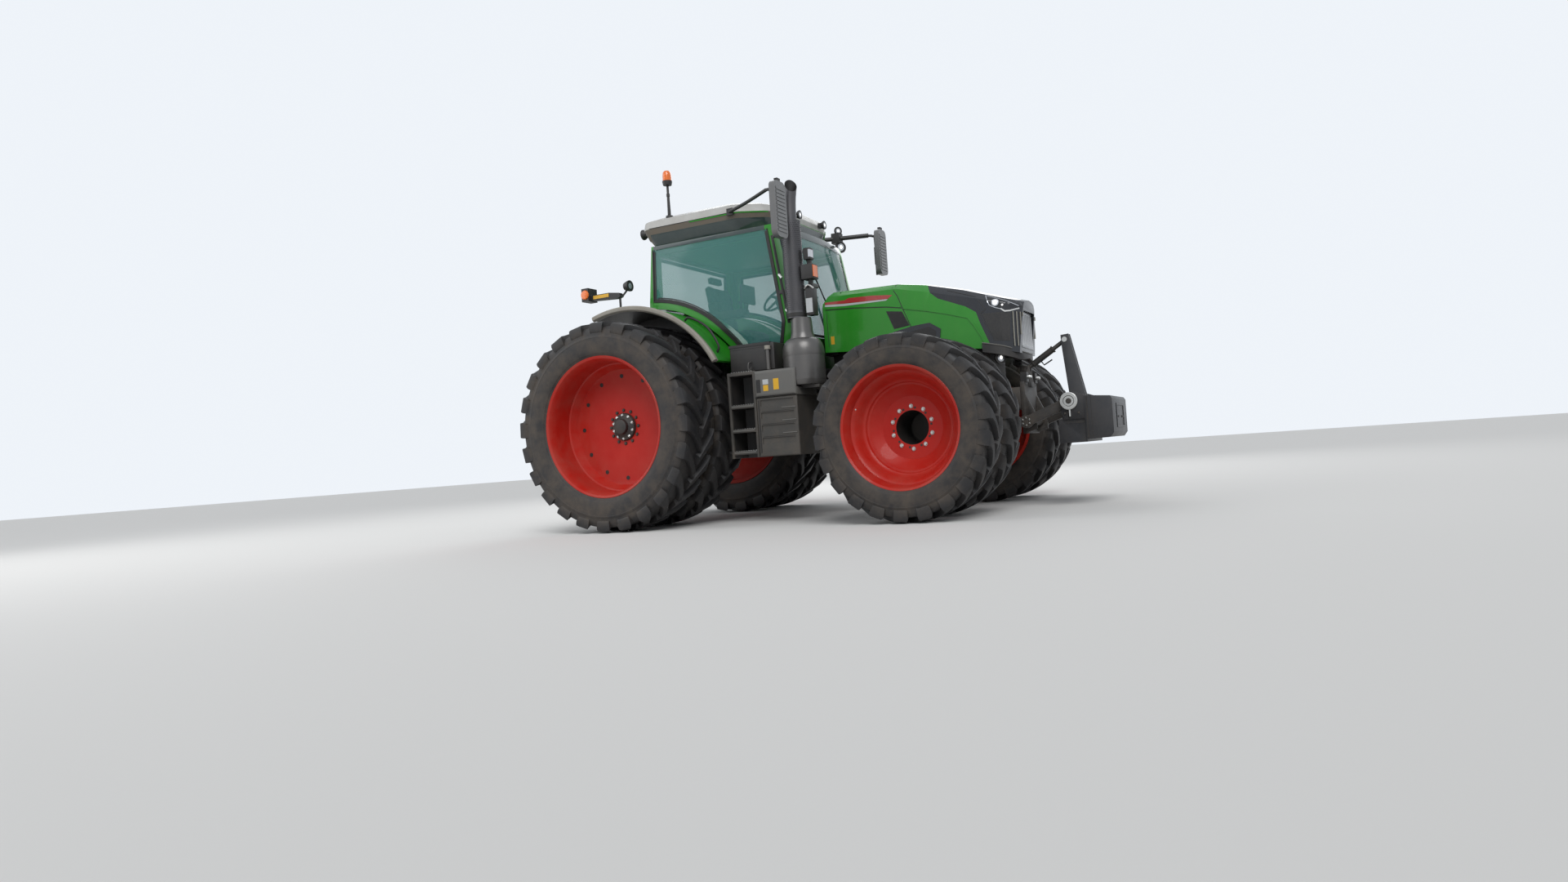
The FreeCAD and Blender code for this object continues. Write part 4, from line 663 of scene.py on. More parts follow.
def ring_tree():
    """Copies of an item turned about the y axis through a centre."""
    def build(tree, inlet):
        share = maths(tree, "DIVIDE", index_of(tree), inlet["Count"])
        turn = vector(tree, "Y", maths(tree, "MULTIPLY", share, math.tau))
        return points_at(tree, inlet["Count"], inlet["Centre"]), turn, drawn_to(tree, inlet)
    return repeat_tree("ring_of_items", (("Count", "NodeSocketInt"), ("Centre", "NodeSocketVector")),
        build)


def grid_tree():
    """Rows of an item: steps along each row, and from row to row with a stagger."""
    def build(tree, inlet):
        total, index = maths(tree, "MULTIPLY", inlet["Across"], inlet["Rows"]), index_of(tree)
        column = maths(tree, "MODULO", index, inlet["Across"])
        row = maths(tree, "FLOOR", maths(tree, "DIVIDE", index, inlet["Across"]))
        odd = maths(tree, "MODULO", row, 2.0)
        shifted = maths(tree, "MULTIPLY_ADD", odd, inlet["Stagger"], column)
        along = vector_maths(tree, "SCALE", inlet["Step"], 3, shifted)
        down = vector_maths(tree, "SCALE", inlet["Row step"], 3, row)
        place = vector_maths(tree, "ADD", along, 1, down)
        return points_at(tree, total, place), ZERO, inlet["Geometry"]
    return repeat_tree("grid_of_items", (("Across", "NodeSocketInt"), ("Rows", "NodeSocketInt"),
        ("Step", "NodeSocketVector"), ("Row step", "NodeSocketVector"), ("Stagger", "NodeSocketFloat")),
        build)


def drum_tree():
    """Copies of an item round the z axis through a centre, and up in staggered rows."""
    def build(tree, inlet):
        total, index = maths(tree, "MULTIPLY", inlet["Around"], inlet["Rows"]), index_of(tree)
        row = maths(tree, "FLOOR", maths(tree, "DIVIDE", index, inlet["Around"]))
        odd = maths(tree, "FRACT", maths(tree, "MULTIPLY", row, 0.5))
        share = maths(tree, "DIVIDE", maths(tree, "ADD", odd, index), inlet["Around"])
        turn = vector(tree, "Z", maths(tree, "MULTIPLY", share, math.tau))
        lift = vector(tree, "Z", maths(tree, "MULTIPLY", row, inlet["Rise"]))
        place = vector_maths(tree, "ADD", inlet["Centre"], 1, lift)
        return points_at(tree, total, place), turn, drawn_to(tree, inlet)
    return repeat_tree("drum_of_items", (("Around", "NodeSocketInt"), ("Rows", "NodeSocketInt"),
        ("Rise", "NodeSocketFloat"), ("Centre", "NodeSocketVector")), build)


def evaluated(item):
    """A plain mesh of what an object's modifiers make."""
    graph = bpy.context.evaluated_depsgraph_get()
    return bpy.data.meshes.new_from_object(item.evaluated_get(graph))


def repeated(item, tree, **inputs):
    """A plain mesh of an item's form repeated by a node group; the form is used up."""
    finish = material(item.finishes[item.layer])
    carrier = bpy.data.objects.new("carrier", item.to_mesh("item"))
    bpy.context.scene.collection.objects.link(carrier)
    modifier = carrier.modifiers.new("repeat", "NODES")
    modifier.node_group = tree
    values = {key.replace("_", " "): value for key, value in inputs.items()}
    values["Finish"] = finish
    for socket in tree.interface.items_tree:
        if socket.in_out == "INPUT" and socket.name in values:
            modifier[socket.identifier] = values[socket.name]
    made = evaluated(carrier)
    carrier.modifiers.remove(modifier)
    bpy.data.objects.remove(carrier)
    return made


def bolt(finish, place, size, axis="y", out=1):
    """Hexagon head with a washer."""
    form = Form(finish)
    # outlines of shares of the size: along the bolt, and out from its middle
    washer = ((0, 0), (0, 1.15), (0.2, 1.15), (0.2, 0))
    head = ((0.2, 0), (0.2, 1), (0.8, 1), (0.95, 0.8), (0.95, 0))
    for outline, steps in ((washer, 16), (head, 6)):
        form.turn([(out * size * along, size * reach) for along, reach in outline], place, axis, steps)
    return form


# Wheels

def carcass(form, centre, width, bead, lug_height):
    """Tyre body: crown, shoulders, bulging walls with rings, and beads."""
    tall = centre[2] - lug_height - bead
    # wall columns: share of half width, share of the wall's height from the bead
    wall = ((0.62, -0.005), (0.72, 0.0), (0.8, 0.03), (0.86, 0.07), (0.9, 0.13), (0.915, 0.135),
        (0.93, 0.15), (0.965, 0.26), (0.985, 0.38), (0.992, 0.5), (0.985, 0.62), (0.992, 0.63),
        (0.975, 0.7), (0.965, 0.71), (0.95, 0.82), (0.92, 0.9), (0.86, 0.955), (0.74, 0.985),
        (0.5, 0.995), (0.25, 1.0), (0.0, 1.0))
    half = [(share * width / 2, bead + up * tall) for share, up in wall]
    form.turn(half + [(-y, r) for y, r in half[-2::-1]], centre, steps=ROUND, loop=True)


def lug_pair(form, centre, width, lugs, lug_height):
    """One lug of each half tread, the second half a pitch behind the first."""
    x, middle_y, radius = centre
    pitch, inside, bevel = math.tau / lugs, 0.84, 0.02
    # lug stations: share of half width, share of the sweep, half base, half top, top radius drop
    stations = (
        (0.0, 0.0, 0.205, 0.14, 0.0),
        (0.14, 0.17, 0.195, 0.135, 0.0),
        (0.34, 0.4, 0.19, 0.135, 0.002),
        (0.56, 0.62, 0.2, 0.145, 0.004),
        (0.76, 0.79, 0.235, 0.185, 0.009),
        (0.9, 0.875, 0.285, 0.245, 0.015),
        (0.972, 0.905, 0.305, 0.272, 0.024),
        (1.0, 0.915, 0.31, 0.28, 0.044),
        (0.998, 0.92, 0.3, 0.272, 0.098),
        (0.94, 0.92, 0.28, 0.25, 0.128))
    for hand, offset in ((1, 0.0), (-1, 0.5)):
        rings = []
        for share, lag, base, top, drop in stations:
            turn, high = (offset - 0.95 * lag) * pitch, radius - drop
            low = min(radius - lug_height - 0.012, high - 0.02)
            ring = []
            section = ((-base, low, inside), (-top - bevel, high - 0.009, share), (-top, high, share),
                (top, high, share), (top + bevel, high - 0.009, share), (base, low, inside))
            for across, r, reach in section:
                angle = turn + across * pitch
                y = middle_y + hand * min(share, reach) * width / 2
                ring.append((x + r * math.sin(angle), y, radius + r * math.cos(angle)))
            rings.append(ring)
        form.skin(rings)


def tyres(sizes):
    # axle columns: name, x, radius, width, bead radius, lugs, outer face, inner face
    axles = (
        ("rear", 0.0, REAR_R, sizes.rear_width, 0.674, sizes.rear_lugs, REAR_OUT, REAR_IN),
        ("front", FRONT_X, FRONT_R, sizes.front_width, 0.514, sizes.front_lugs, FRONT_OUT, FRONT_IN))
    for name, x, radius, width, bead, lugs, outer, inner in axles:
        form = Form("tyre_rubber_" + name)
        for y in (outer - width / 2, inner + width / 2):
            centre = (x, y, radius)
            carcass(form, centre, width, bead, sizes.lug_height)
            lug = Form("tyre_rubber_" + name)
            lug_pair(lug, centre, width, lugs, sizes.lug_height)
            form.ring(lug, lugs, centre)
        form.finish_wheels("tyre_pair", name, "tyres", 28)


def rim(form, centre, *outline):
    """Rim turned from an outline of (depth behind the outer flange, radius)."""
    form.turn([(-depth, radius) for depth, radius in outline], centre, steps=ROUND, loop=True)


def rear_rims():
    form = Form("rim_paint_rear")
    face, inner, z, bed = REAR_OUT - 0.03, REAR_IN + 0.46, REAR_R, 0.6717
    rim(form, (0, face, z), (0.0, 0.692), (0.004, 0.698), (0.012, 0.697), (0.015, 0.688), (0.014, bed),
        (0.416, bed), (0.415, 0.69), (0.42, 0.698), (0.428, 0.696), (0.43, 0.66), (0.404, 0.6),
        (0.399, 0.56), (0.399, 0.102), (0.384, 0.102), (0.384, 0.545), (0.376, 0.585), (0.352, 0.6),
        (0.3, 0.63), (0.292, 0.645), (0.2, 0.65), (0.12, 0.647), (0.04, 0.654), (0.01, 0.672))
    rim(form, (0, inner, z), (0.0, 0.692), (0.012, 0.698), (0.014, bed), (0.416, bed), (0.418, 0.698),
        (0.43, 0.692), (0.422, 0.659), (0.315, 0.655), (0.313, 0.145), (0.3, 0.145), (0.296, 0.64),
        (0.02, 0.656))
    disc, hub = inner - 0.313, face - 0.384
    form.turn([(disc, 0.145), (disc, 0.185), (face - 0.4, 0.185), (face - 0.4, 0.155), (disc, 0.155)],
        (0, 0, z), steps=64, loop=True)
    form.use(CHASSIS).turn([(0.0, 0.14), (0.012, 0.14), (0.028, 0.132), (0.034, 0.105), (0.05, 0.08),
        (0.086, 0.074), (0.094, 0.06), (0.094, 0.0)], (0, hub, z))
    form.turn([(inner - 0.42, 0.185), (disc, 0.185), (disc, 0.0)], (0, 0, z))
    form.turn([(0.372, 0.062), (inner - 0.4, 0.062)], (0, 0, z), steps=32)
    form.ring(bolt(METAL, (0, hub + 0.03, z + 0.118), 0.013), 10, (0, hub, z))
    form.ring(bolt(CHASSIS, (0, hub, z + 0.168), 0.015), 12, (0, hub, z))
    # the twelve holes are thin black discs on the disc's face: painted shade standing in for openings
    hole = Form(TRIM)
    hole.turn([(0.0, 0.0), (0.0, 0.021), (0.003, 0.021), (0.003, 0.0)], (0, hub, z + 0.515), steps=20)
    form.ring(hole, 12, (0, hub, z))
    form.finish_wheels("rims", "rear", "wheel", 30)


def front_rims():
    form = Form("rim_paint_front")
    face, inner, x, z, bed = FRONT_OUT - 0.025, FRONT_IN + 0.365, FRONT_X, FRONT_R, 0.5117
    rim(form, (x, face, z), (0.0, 0.53), (0.004, 0.537), (0.011, 0.536), (0.014, 0.528), (0.013, bed),
        (0.327, bed), (0.326, 0.53), (0.332, 0.537), (0.338, 0.534), (0.34, 0.5), (0.3, 0.425),
        (0.3, 0.396), (0.362, 0.3), (0.358, 0.15), (0.345, 0.15), (0.345, 0.276), (0.335, 0.29),
        (0.292, 0.352), (0.27, 0.372), (0.266, 0.388), (0.246, 0.398), (0.238, 0.412), (0.22, 0.425),
        (0.18, 0.44), (0.14, 0.462), (0.128, 0.476), (0.122, 0.486), (0.05, 0.492), (0.01, 0.512))
    rim(form, (x, inner, z), (0.0, 0.531), (0.012, 0.537), (0.014, bed), (0.326, bed), (0.328, 0.537),
        (0.34, 0.531), (0.332, 0.499), (0.145, 0.495), (0.143, 0.155), (0.13, 0.155), (0.126, 0.485),
        (0.02, 0.496))
    form.use(TRIM).turn([(inner - 0.13, 0.149), (inner - 0.13, 0.2), (face - 0.352, 0.2),
        (face - 0.346, 0.149)], (x, 0, z), steps=64, loop=True)
    form.turn([(inner - 0.1, 0.19), (inner - 0.12, 0.19)], (x, 0, z))
    # valve stem and its cap
    stem = [(x - 0.4, face - 0.075, z + 0.19), (x - 0.385, face - 0.03, z + 0.184)]
    cap = [(x - 0.388, face - 0.04, z + 0.185), (x - 0.38, face - 0.012, z + 0.182)]
    form.use("rim_paint_front").pipe(stem, 0.009, 10)
    form.use(METAL).pipe(cap, 0.006, 10)
    form.use(CHASSIS).turn([(inner - 0.07, 0.0), (inner - 0.07, 0.13), (inner - 0.13, 0.14)], (x, 0, z))
    form.turn([(0.7, 0.0), (0.7, 0.19), (inner - 0.2, 0.19), (inner - 0.143, 0.17), (inner - 0.143, 0.0)],
        (x, 0, z))
    disc = face - 0.345
    form.ring(bolt(METAL, (x, disc, z + 0.186), 0.016), 10, (x, disc, z))
    # the ten small holes are thin black discs on the disc: painted shade standing in for openings
    hole = Form(TRIM)
    hole.turn([(0.0, 0.0), (0.0, 0.01), (0.002, 0.01), (0.002, 0.0)],
        (x + 0.035, disc, z + 0.17), steps=14)
    form.ring(hole, 10, (x, disc, z))
    form.finish_wheels("rims", "front", "wheel", 30)


# Chassis and linkages

def chassis():
    # casting columns: node, rounding of its edges
    castings = (("front_axle", 0.01), ("knuckle_left", 0.005), ("knuckle_right", 0.005),
        ("steering_rod", 0.002), ("front_frame", 0.006), ("gearbox", 0.014), ("radiator", 0.006),
        ("front_hitch_frame", 0.004), ("lower_links", 0.006), ("lift_arms", 0.006), ("lift_rods", 0.003),
        ("rear_top_link", 0.003), ("rear_hitch_frame", 0.004), ("drawbar", 0.004))
    for node, edge in castings:
        casting(node, CHASSIS, edge).finish_node(node + "_casting", node, "chassis_grey")
    casting("cowl", PLASTIC, 0.008).finish_node("cowl_cover", "cowl", "gloss_black")
    low, high = place("engine_block")
    form = casting("engine_block", CHASSIS, 0.02, 3)
    for side in (-1, 1):
        face = side * high.y
        rib = Form(CHASSIS)
        y0, y1 = face - side * 0.004, face + side * 0.012
        rib.block((low.x + 0.08, y0, low.z + 0.05), (low.x + 0.1, y1, high.z - 0.1), 0.003)
        form.grid(rib, 12, 1, (0.095, 0, 0))
        for x, z in ((low.x + 0.3, 1.34), (low.x + 0.85, 1.3)):
            form.turn([(-0.16, 0.05), (-0.15, 0.058), (0.14, 0.058), (0.16, 0.04)],
                (x, face + side * 0.045, z), "z", 28)
    form.finish_node("engine_sides", "engine_block", "chassis_grey")
    bolts, start = Form(METAL), place("front_frame")[0].x + 0.12
    for side in (-1, 1):
        bolts.grid(bolt(METAL, (start, side * 0.2705, 0.975), 0.014, "y", side), 9, 2, (0.18, 0, 0),
            (0, 0, 0.11))
    bolts.finish("frame_bolts", "chassis", "chassis_grey")


def linkage():
    form = casting("front_lift_arms", CHASSIS, 0.01, 3)
    for side in (-1, 1):
        y = side * 0.3705
        form.ring(bolt(METAL, (3.8, y, 0.835), 0.008, "y", side), 6, (3.8, y, 0.8))
    form.finish_node("lift_arm_pair", "front_lift_arms", "chassis_grey")
    link = casting("front_top_link", CHASSIS, 0.002)
    start = Vector((3.744, 0, 1.298))
    run = (Vector((4.136, 0, 1.548)) - start).normalized()
    # sleeve columns: finish, where it starts and stops, radius, sides
    sleeves = (
        (CHASSIS, 0.1, 0.32, 0.03, 20),
        (CHASSIS, 0.095, 0.107, 0.035, 20),
        (CHASSIS, 0.315, 0.327, 0.035, 20),
        (METAL, 0.33, 0.41, 0.017, 16))
    for finish, near, far, radius, sides in sleeves:
        link.use(finish).pipe([start + run * near, start + run * far], radius, sides)
    handle = ((0.18, 0.004, -0.028), (0.19, 0.02, -0.07), (0.27, 0.03, -0.07))
    link.use(CHASSIS).pipe([start + run * at + Vector((x, 0, z)) for at, x, z in handle], 0.007, 8)
    link.finish_node("top_link_front", "front_top_link", "chassis_grey")
    form = Form(PLASTIC)
    for side in (-1, 1):
        form.use(PLASTIC).block((3.742, side * 0.13, 1.175), (3.8, side * 0.22, 1.27), 0.006)
        for y in (0.152, 0.197):
            form.use(METAL).turn([(0.0, 0.0), (0.0, 0.016), (0.028, 0.016), (0.034, 0.012), (0.034, 0.0)],
                (3.8, side * y, 1.222), "x", 16)
        form.use(CHASSIS).block((3.742, side * 0.13, 1.15), (3.785, side * 0.22, 1.18), 0.003)
    form.finish("coupler_blocks", "chassis", "chassis_grey")


def ballast():
    form = casting("ballast_weight", "ballast_paint", 0.014, 3)
    front = place("ballast_weight")[1].x
    # drawn in, so that what lies on the front stays inside the solid's length
    for vert in form.mesh.verts:
        if vert.co.x > front - 0.004:
            vert.co.x -= 0.009
    skin = Surface("ballast_weight")
    for side, view in SIDES:
        y = side * 0.4245
        plate = ((0, 0.074), (0.004, 0.079), (0.012, 0.079), (0.016, 0.074), (0.016, 0.05), (0.01, 0.044))
        form.use(METAL).turn([(side * out, r) for out, r in plate], (4.206, y, 0.955), "y", 40)
        form.ring(bolt(CHASSIS, (4.206, y + side * 0.008, 0.955), 0.022, "y", side), 1, (4.206, y, 0.955))
        y -= side * 0.006
        form.use(METAL).pipe([(4.206, y, 0.885), (4.206, y, 0.815)], 0.011, 10)
        form.lay(skin, view,
            (TRIM, 0.022, 0.002, (4.165, 0.762), (4.325, 0.762)),
            (TRIM, 0.014, 0.001, (4.358, 0.985), (4.358, 0.615)),
            (TRIM, 0.004, 0.001, (4.395, 0.985), (4.395, 0.615)))
        form.grid(bolt(CHASSIS, (4.165, side * 0.4105, 0.845), 0.01, "y", side), 2, 1, (0.12, 0, 0))
    frame_line = [(-0.2, 0.7), (0.2, 0.7), (0.2, 0.9), (-0.2, 0.9)]
    form.use("ballast_paint").ribbon(skin, frame_line, "front", 0.018, -0.002, loop=True)
    form.use(TRIM)
    for y in (-0.12, 0.12):
        form.ribbon(skin, [(y - 0.03, 0.79), (y + 0.03, 0.79)], "front", 0.016, -0.001)
    # caps on the tower's pin
    for side in (-1, 1):
        form.use(METAL).turn([(0, 0), (0, 0.026), (side * 0.008, 0.024), (side * 0.008, 0)],
            (4.136, side * 0.046, 1.548), "y", 24)
    form.finish_node("ballast_block", "ballast_weight", "ballast_grey")


# Bonnet

# seams and crease, vent, side intake, stripe and warning plate: finish, width, lift and points
BONNET_TRIM = (
    (TRIM, 0.007, 0.0015, (2.6, 2.204), (2.659, 2.112), (2.708, 1.985), (2.778, 1.807), (2.8, 1.74)),
    (TRIM, 0.007, 0.0015, (1.89, 2.07), (2.196, 2.052), (2.54, 2.017), (2.7, 1.988)),
    ("green_paint", 0.018, 0.007, (2.72, 1.985), (2.951, 1.934), (3.147, 1.88), (3.338, 1.818),
     (3.391, 1.744), (3.458, 1.621), (3.495, 1.54)),
    ("green_paint", 0.012, 0.005, (1.9, 2.082), (2.196, 2.064), (2.54, 2.029), (2.69, 2.001)),
    (TRIM, 0.005, 0.001, (1.9, 2.03), (1.905, 1.7)),
    ("mesh_dark", 0, 0.002, (2.538, 1.977), (2.7, 1.955), (2.77, 1.812), (2.609, 1.794)),
    ("nose_gloss", 0, 0.012, (2.6, 1.765), (2.8, 1.8), (2.97, 1.812), (3.075, 1.742), (3.06, 1.63),
     (2.6, 1.63)),
    (TRIM, 0, 0.014, (2.66, 1.73), (2.96, 1.775), (3.03, 1.725), (3.02, 1.64), (2.66, 1.64)),
    ("red_stripe", 0, 0.0015, (1.885, 2.15), (2.1, 2.146), (2.145, 2.163), (2.394, 2.153), (2.607, 2.13),
     (2.56, 2.098), (2.1, 2.112), (1.885, 2.126)),
    ("silver_stripe", 0, 0.0015, (1.885, 2.124), (2.1, 2.11), (2.56, 2.096), (2.542, 2.083),
     (2.1, 2.087), (1.885, 2.105)),
    ("yellow_plate", 0, 0.002, (1.93, 1.8), (1.968, 1.8), (1.968, 1.72), (1.93, 1.72)))


def bonnet():
    form = casting("hood", "green_paint", 0.005, 3, 24)
    skin = Surface("hood", "hood_nose")
    for side, view in SIDES:
        form.lay(skin, view, *BONNET_TRIM)
        slat = Form(TRIM)
        slat.block((2.628, side * 0.444, 1.812), (2.752, side * 0.4535, 1.816), 0)
        form.grid(slat, 1, 9, ZERO, (-0.0068, 0, 0.0155))
    form.lay(Surface("hood"), "top", (TRIM, 0.006, 0.001, (2.63, -0.4), (2.63, 0.4)))
    form.finish_node("bonnet_skin", "hood", "body_green", 12)


def nose():
    form = casting("hood_nose", "nose_gloss", 0.004, 3, 24)
    skin = Surface("hood_nose", "headlamps", "hood")
    for view in VIEWS:
        form.lay(skin, view,
            ("mesh_dark", 0, 0.003, (3.47, 1.838), (3.527, 1.838), (3.638, 1.838), (3.722, 1.824),
             (3.706, 1.56), (3.575, 1.575)),
            (TRIM, 0.006, 0.002, (3.142, 2.106), (3.416, 2.008), (3.5, 1.885)),
            (TRIM, 0.006, 0.003, (3.508, 1.88), (3.455, 1.842), (3.57, 1.575)))
        for x, top in ((3.738, 1.835), (3.766, 1.832), (3.791, 1.828), (3.808, 1.824)):
            form.lay(skin, view, ("bar_khaki", 0.01, 0.009, (x, 1.51), (x, top)))
    form.finish_node("bonnet_nose", "hood_nose", "gloss_black", 12)
    headlamps(skin)
    low, high = place("grille")
    form = casting("grille", "bright_bar", 0.003)
    form.use("mesh_dark").block((low.x - 0.012, low.y, low.z), (low.x - 0.006, high.y, high.z), 0)
    wire = Form(TRIM)
    wire.block((low.x - 0.006, low.y, low.z + 0.01), (low.x - 0.001, high.y, low.z + 0.014), 0)
    form.grid(wire, 1, 26, ZERO, (0, 0, 0.013))
    form.finish_node("grille_bars", "grille", "charcoal_plastic")
    bumper()


def headlamps(skin):
    """Smoked lenses with lit bulbs, bright edge lines and a bright lower trim."""
    form = casting("headlamps", "smoked_lens", 0.002, 2, 40)
    lens = [(3.506, 2.003), (3.542, 1.913), (3.594, 1.886), (3.646, 1.85), (3.724, 1.852), (3.79, 1.866),
        (3.786, 1.884), (3.673, 1.94)]
    # bulb columns: finish, centre, radius, last angle, steps, lift, cell
    bulbs = (
        ("lamp_glass", (3.592, 1.93), 0.033, 337.5, 15, 0.005, 0.008),
        ("lamp_glow", (3.592, 1.93), 0.021, 337.5, 15, 0.007, 0.008),
        ("lamp_glow", (3.654, 1.902), 0.009, 315, 7, 0.007, 0.006))
    for view in VIEWS:
        form.use("smoked_lens").plate(skin, lens, view, 0.003, 0.012)
        form.lay(skin, view,
            (METAL, 0.013, 0.006, (3.64, 1.868), (3.672, 1.842), (3.716, 1.842), (3.788, 1.862)),
            ("lamp_glass", 0.006, 0.005, (3.786, 1.885), (3.673, 1.943), (3.501, 2.008), (3.54, 1.911),
             (3.592, 1.882), (3.64, 1.866)))
        for finish, centre, radius, stop, steps, lift, cell in bulbs:
            form.use(finish).plate(skin, arc_points(centre, radius, 0, stop, steps), view, lift, cell)
    form.finish_node("headlamp_units", "headlamps", "lamp_clear")


def bumper():
    """Curved lower band below the nose, with a lighter edge and round work lamps."""
    form = Form(PLASTIC)
    half = [(3.46, 0.42, 1.535), (3.548, 0.412, 1.515), (3.64, 0.385, 1.49), (3.71, 0.325, 1.462),
        (3.752, 0.22, 1.44), (3.768, 0.1, 1.43), (3.772, 0.0, 1.428)]
    path = curve_through([(x, -y, z) for x, y, z in half] + half[-2::-1], 4)
    for finish, low, high, thick in ((PLASTIC, -0.062, 0.022, 0.02), ("cover_grey", 0.02, 0.034, 0.024)):
        rings = []
        for i, spot in enumerate(path):
            ahead = path[min(i + 1, len(path) - 1)] - path[max(i - 1, 0)]
            out = Vector((ahead.y, -ahead.x, 0)).normalized()
            # shallower in the middle, clear of the raised top link
            foot = low * (0.35 + 0.65 * min(1.0, abs(spot.y) / 0.25)) if low < 0 else low
            section = ((-0.8, foot), (0.7, foot), (1, foot + 0.004), (1, high - 0.004), (0.8, high),
                (-0.8, high))
            rings.append([spot + out * a * thick + Vector((0, 0, b)) for a, b in section])
        form.use(finish).skin(rings)
    for side in (-1, 1):
        round_lamp(form, (3.6, side * 0.345, 1.415), 0.062, (0.8, side * 0.6, 0.0))
        form.use(PLASTIC).pipe([(3.585, side * 0.345, 1.44), (3.575, side * 0.36, 1.5)], 0.014, 12)
    form.finish("nose_bumper", frame["nodes"]["hood"]["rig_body"], "charcoal_plastic")


# Cab

def side_opening(rear, top, front_top, front_belt, front_low, low, radius):
    """Outline over the wheel: upright pillars, and an arc about the rear axle below."""
    start = math.degrees(math.asin((low - REAR_R) / radius))
    stop = math.degrees(math.acos(rear / radius))
    pillars = [(rear, top), (front_top, top), (front_belt, 1.95), (front_low, low)]
    return pillars + arc_points((0, REAR_R), radius, start, stop, 14)


def drawn_in(outline, by):
    """A closed outline moved inwards by a distance."""
    turn = sum(a[0] * b[1] - b[0] * a[1] for a, b in zip(outline, outline[1:] + outline[:1]))
    made = []
    for before, here, after in zip(outline[-1:] + outline[:-1], outline, outline[1:] + outline[:1]):
        half = Vector((0, 0))
        for p, q in ((before, here), (here, after)):
            run = Vector((q[0] - p[0], q[1] - p[1])).normalized()
            half += Vector((-run.y, run.x)) * (1 if turn > 0 else -1)
        half = half / max(half.length_squared, 0.4) * 2
        made.append((here[0] + half.x * by, here[1] + half.y * by))
    return made


def cab():
    form = casting("cab_frame", "green_paint", 0.01, 3)
    form.split("z", 2.855, 2.893)
    form.split("x", 0.118, 1.46)
    form.zone("smoked_header", lambda c, n: c.z > 2.893 and 0.118 < c.x < 1.46 and abs(n.y) > 0.6)
    form.zone("smoked_header", lambda c, n: c.z > 2.855 and c.x > 1.46 and abs(c.y) < 0.745)
    form.finish_node("cab_pillars", "cab_frame", "body_green")
    casting("cab_floor", PLASTIC, 0.004).finish_node("cab_floor_pan", "cab_floor", "body_green")
    for node, name in (("cab_glass", "cab_panes"), ("door_glass_left", "door_pane")):
        casting(node, "cab_glazing", 0).finish_node(name, node, "cab_glass")
    seals()
    form = casting("door_frame_left", "green_paint", 0.01, 3)
    outline = drawn_in(side_opening(0.222, 2.818, 1.418, 1.573, 1.448, 1.642, 1.353), 0.012)
    form.use(TRIM).ribbon(Surface("door_frame_left", "door_glass_left"), outline, "left", 0.03, 0.003,
        loop=True)
    form.use(PLASTIC).block((1.33, 0.905, 1.97), (1.5, 0.925, 2.03), 0.008)
    form.block((1.35, 0.922, 1.985), (1.46, 0.935, 2.012), 0.006)
    form.pipe([(1.3, 0.835, 2.05), (1.3, 0.8, 2.08), (1.22, 0.8, 2.4), (1.22, 0.835, 2.44)], 0.012, 10, 4)
    form.finish_node("door_frame_finished", "door_frame_left", "body_green")
    # handrail on the right front pillar, with two bright clamps
    form = Form(TRIM)
    form.pipe([(1.705, -0.915, 1.93), (1.712, -0.945, 2.02), (1.66, -0.945, 2.36), (1.6, -0.925, 2.72),
        (1.575, -0.9, 2.8)], 0.014, 12, 5)
    for x, z in ((1.704, 2.05), (1.652, 2.4)):
        form.use(METAL).pipe([(x - 0.02, -0.9, z + 0.02), (x, -0.955, z), (x + 0.03, -0.965, z - 0.04)],
            0.013, 10, 3)
    form.finish("front_handrail", "chassis", "charcoal_plastic")


def seals():
    """Black borders and rubber seals round the panes, and the wiper."""
    form = Form(TRIM)
    skin = Surface("cab_glass", "cab_frame")
    window = side_opening(0.118, 2.896, 1.486, 1.648, 1.52, 1.59, 1.315)
    screen = [(-0.745, 2.852), (0.745, 2.852), (0.752, 1.815), (0.4, 1.808), (-0.4, 1.808),
        (-0.752, 1.815)]
    # seal columns: outline, side it is seen from, how far it is drawn in, width, lift; open at the top
    open_seals = (
        (window, "right", 0.014, 0.028, 0.003),
        (window, "right", -0.004, 0.012, 0.007),
        (screen, "front", 0.013, 0.026, 0.003))
    for outline, view, by, width, lift in open_seals:
        seal = drawn_in(outline, by)
        form.ribbon(skin, seal[1:] + seal[:1], view, width, lift)
    arch = arc_points((0, 1.04), 1.352, 33, 83, 16)
    form.ribbon(skin, arch, "right", 0.01, 0.003)
    rear = [(-0.692, 2.842), (0.692, 2.842), (0.692, 1.908), (-0.692, 1.908)]
    form.ribbon(skin, drawn_in(rear, 0.018), "back", 0.04, 0.003, loop=True)
    form.pipe([(1.842, 0.0, 1.83), (1.8, -0.2, 2.16), (1.76, -0.36, 2.44)], 0.007, 8, 4)
    form.pipe([(1.815, -0.08, 2.03), (1.69, -0.52, 2.74)], 0.006, 8)
    form.use(PLASTIC).block((1.815, -0.09, 1.79), (1.875, 0.09, 1.85), 0.012)
    form.finish("cab_seals", "chassis", "charcoal_plastic")


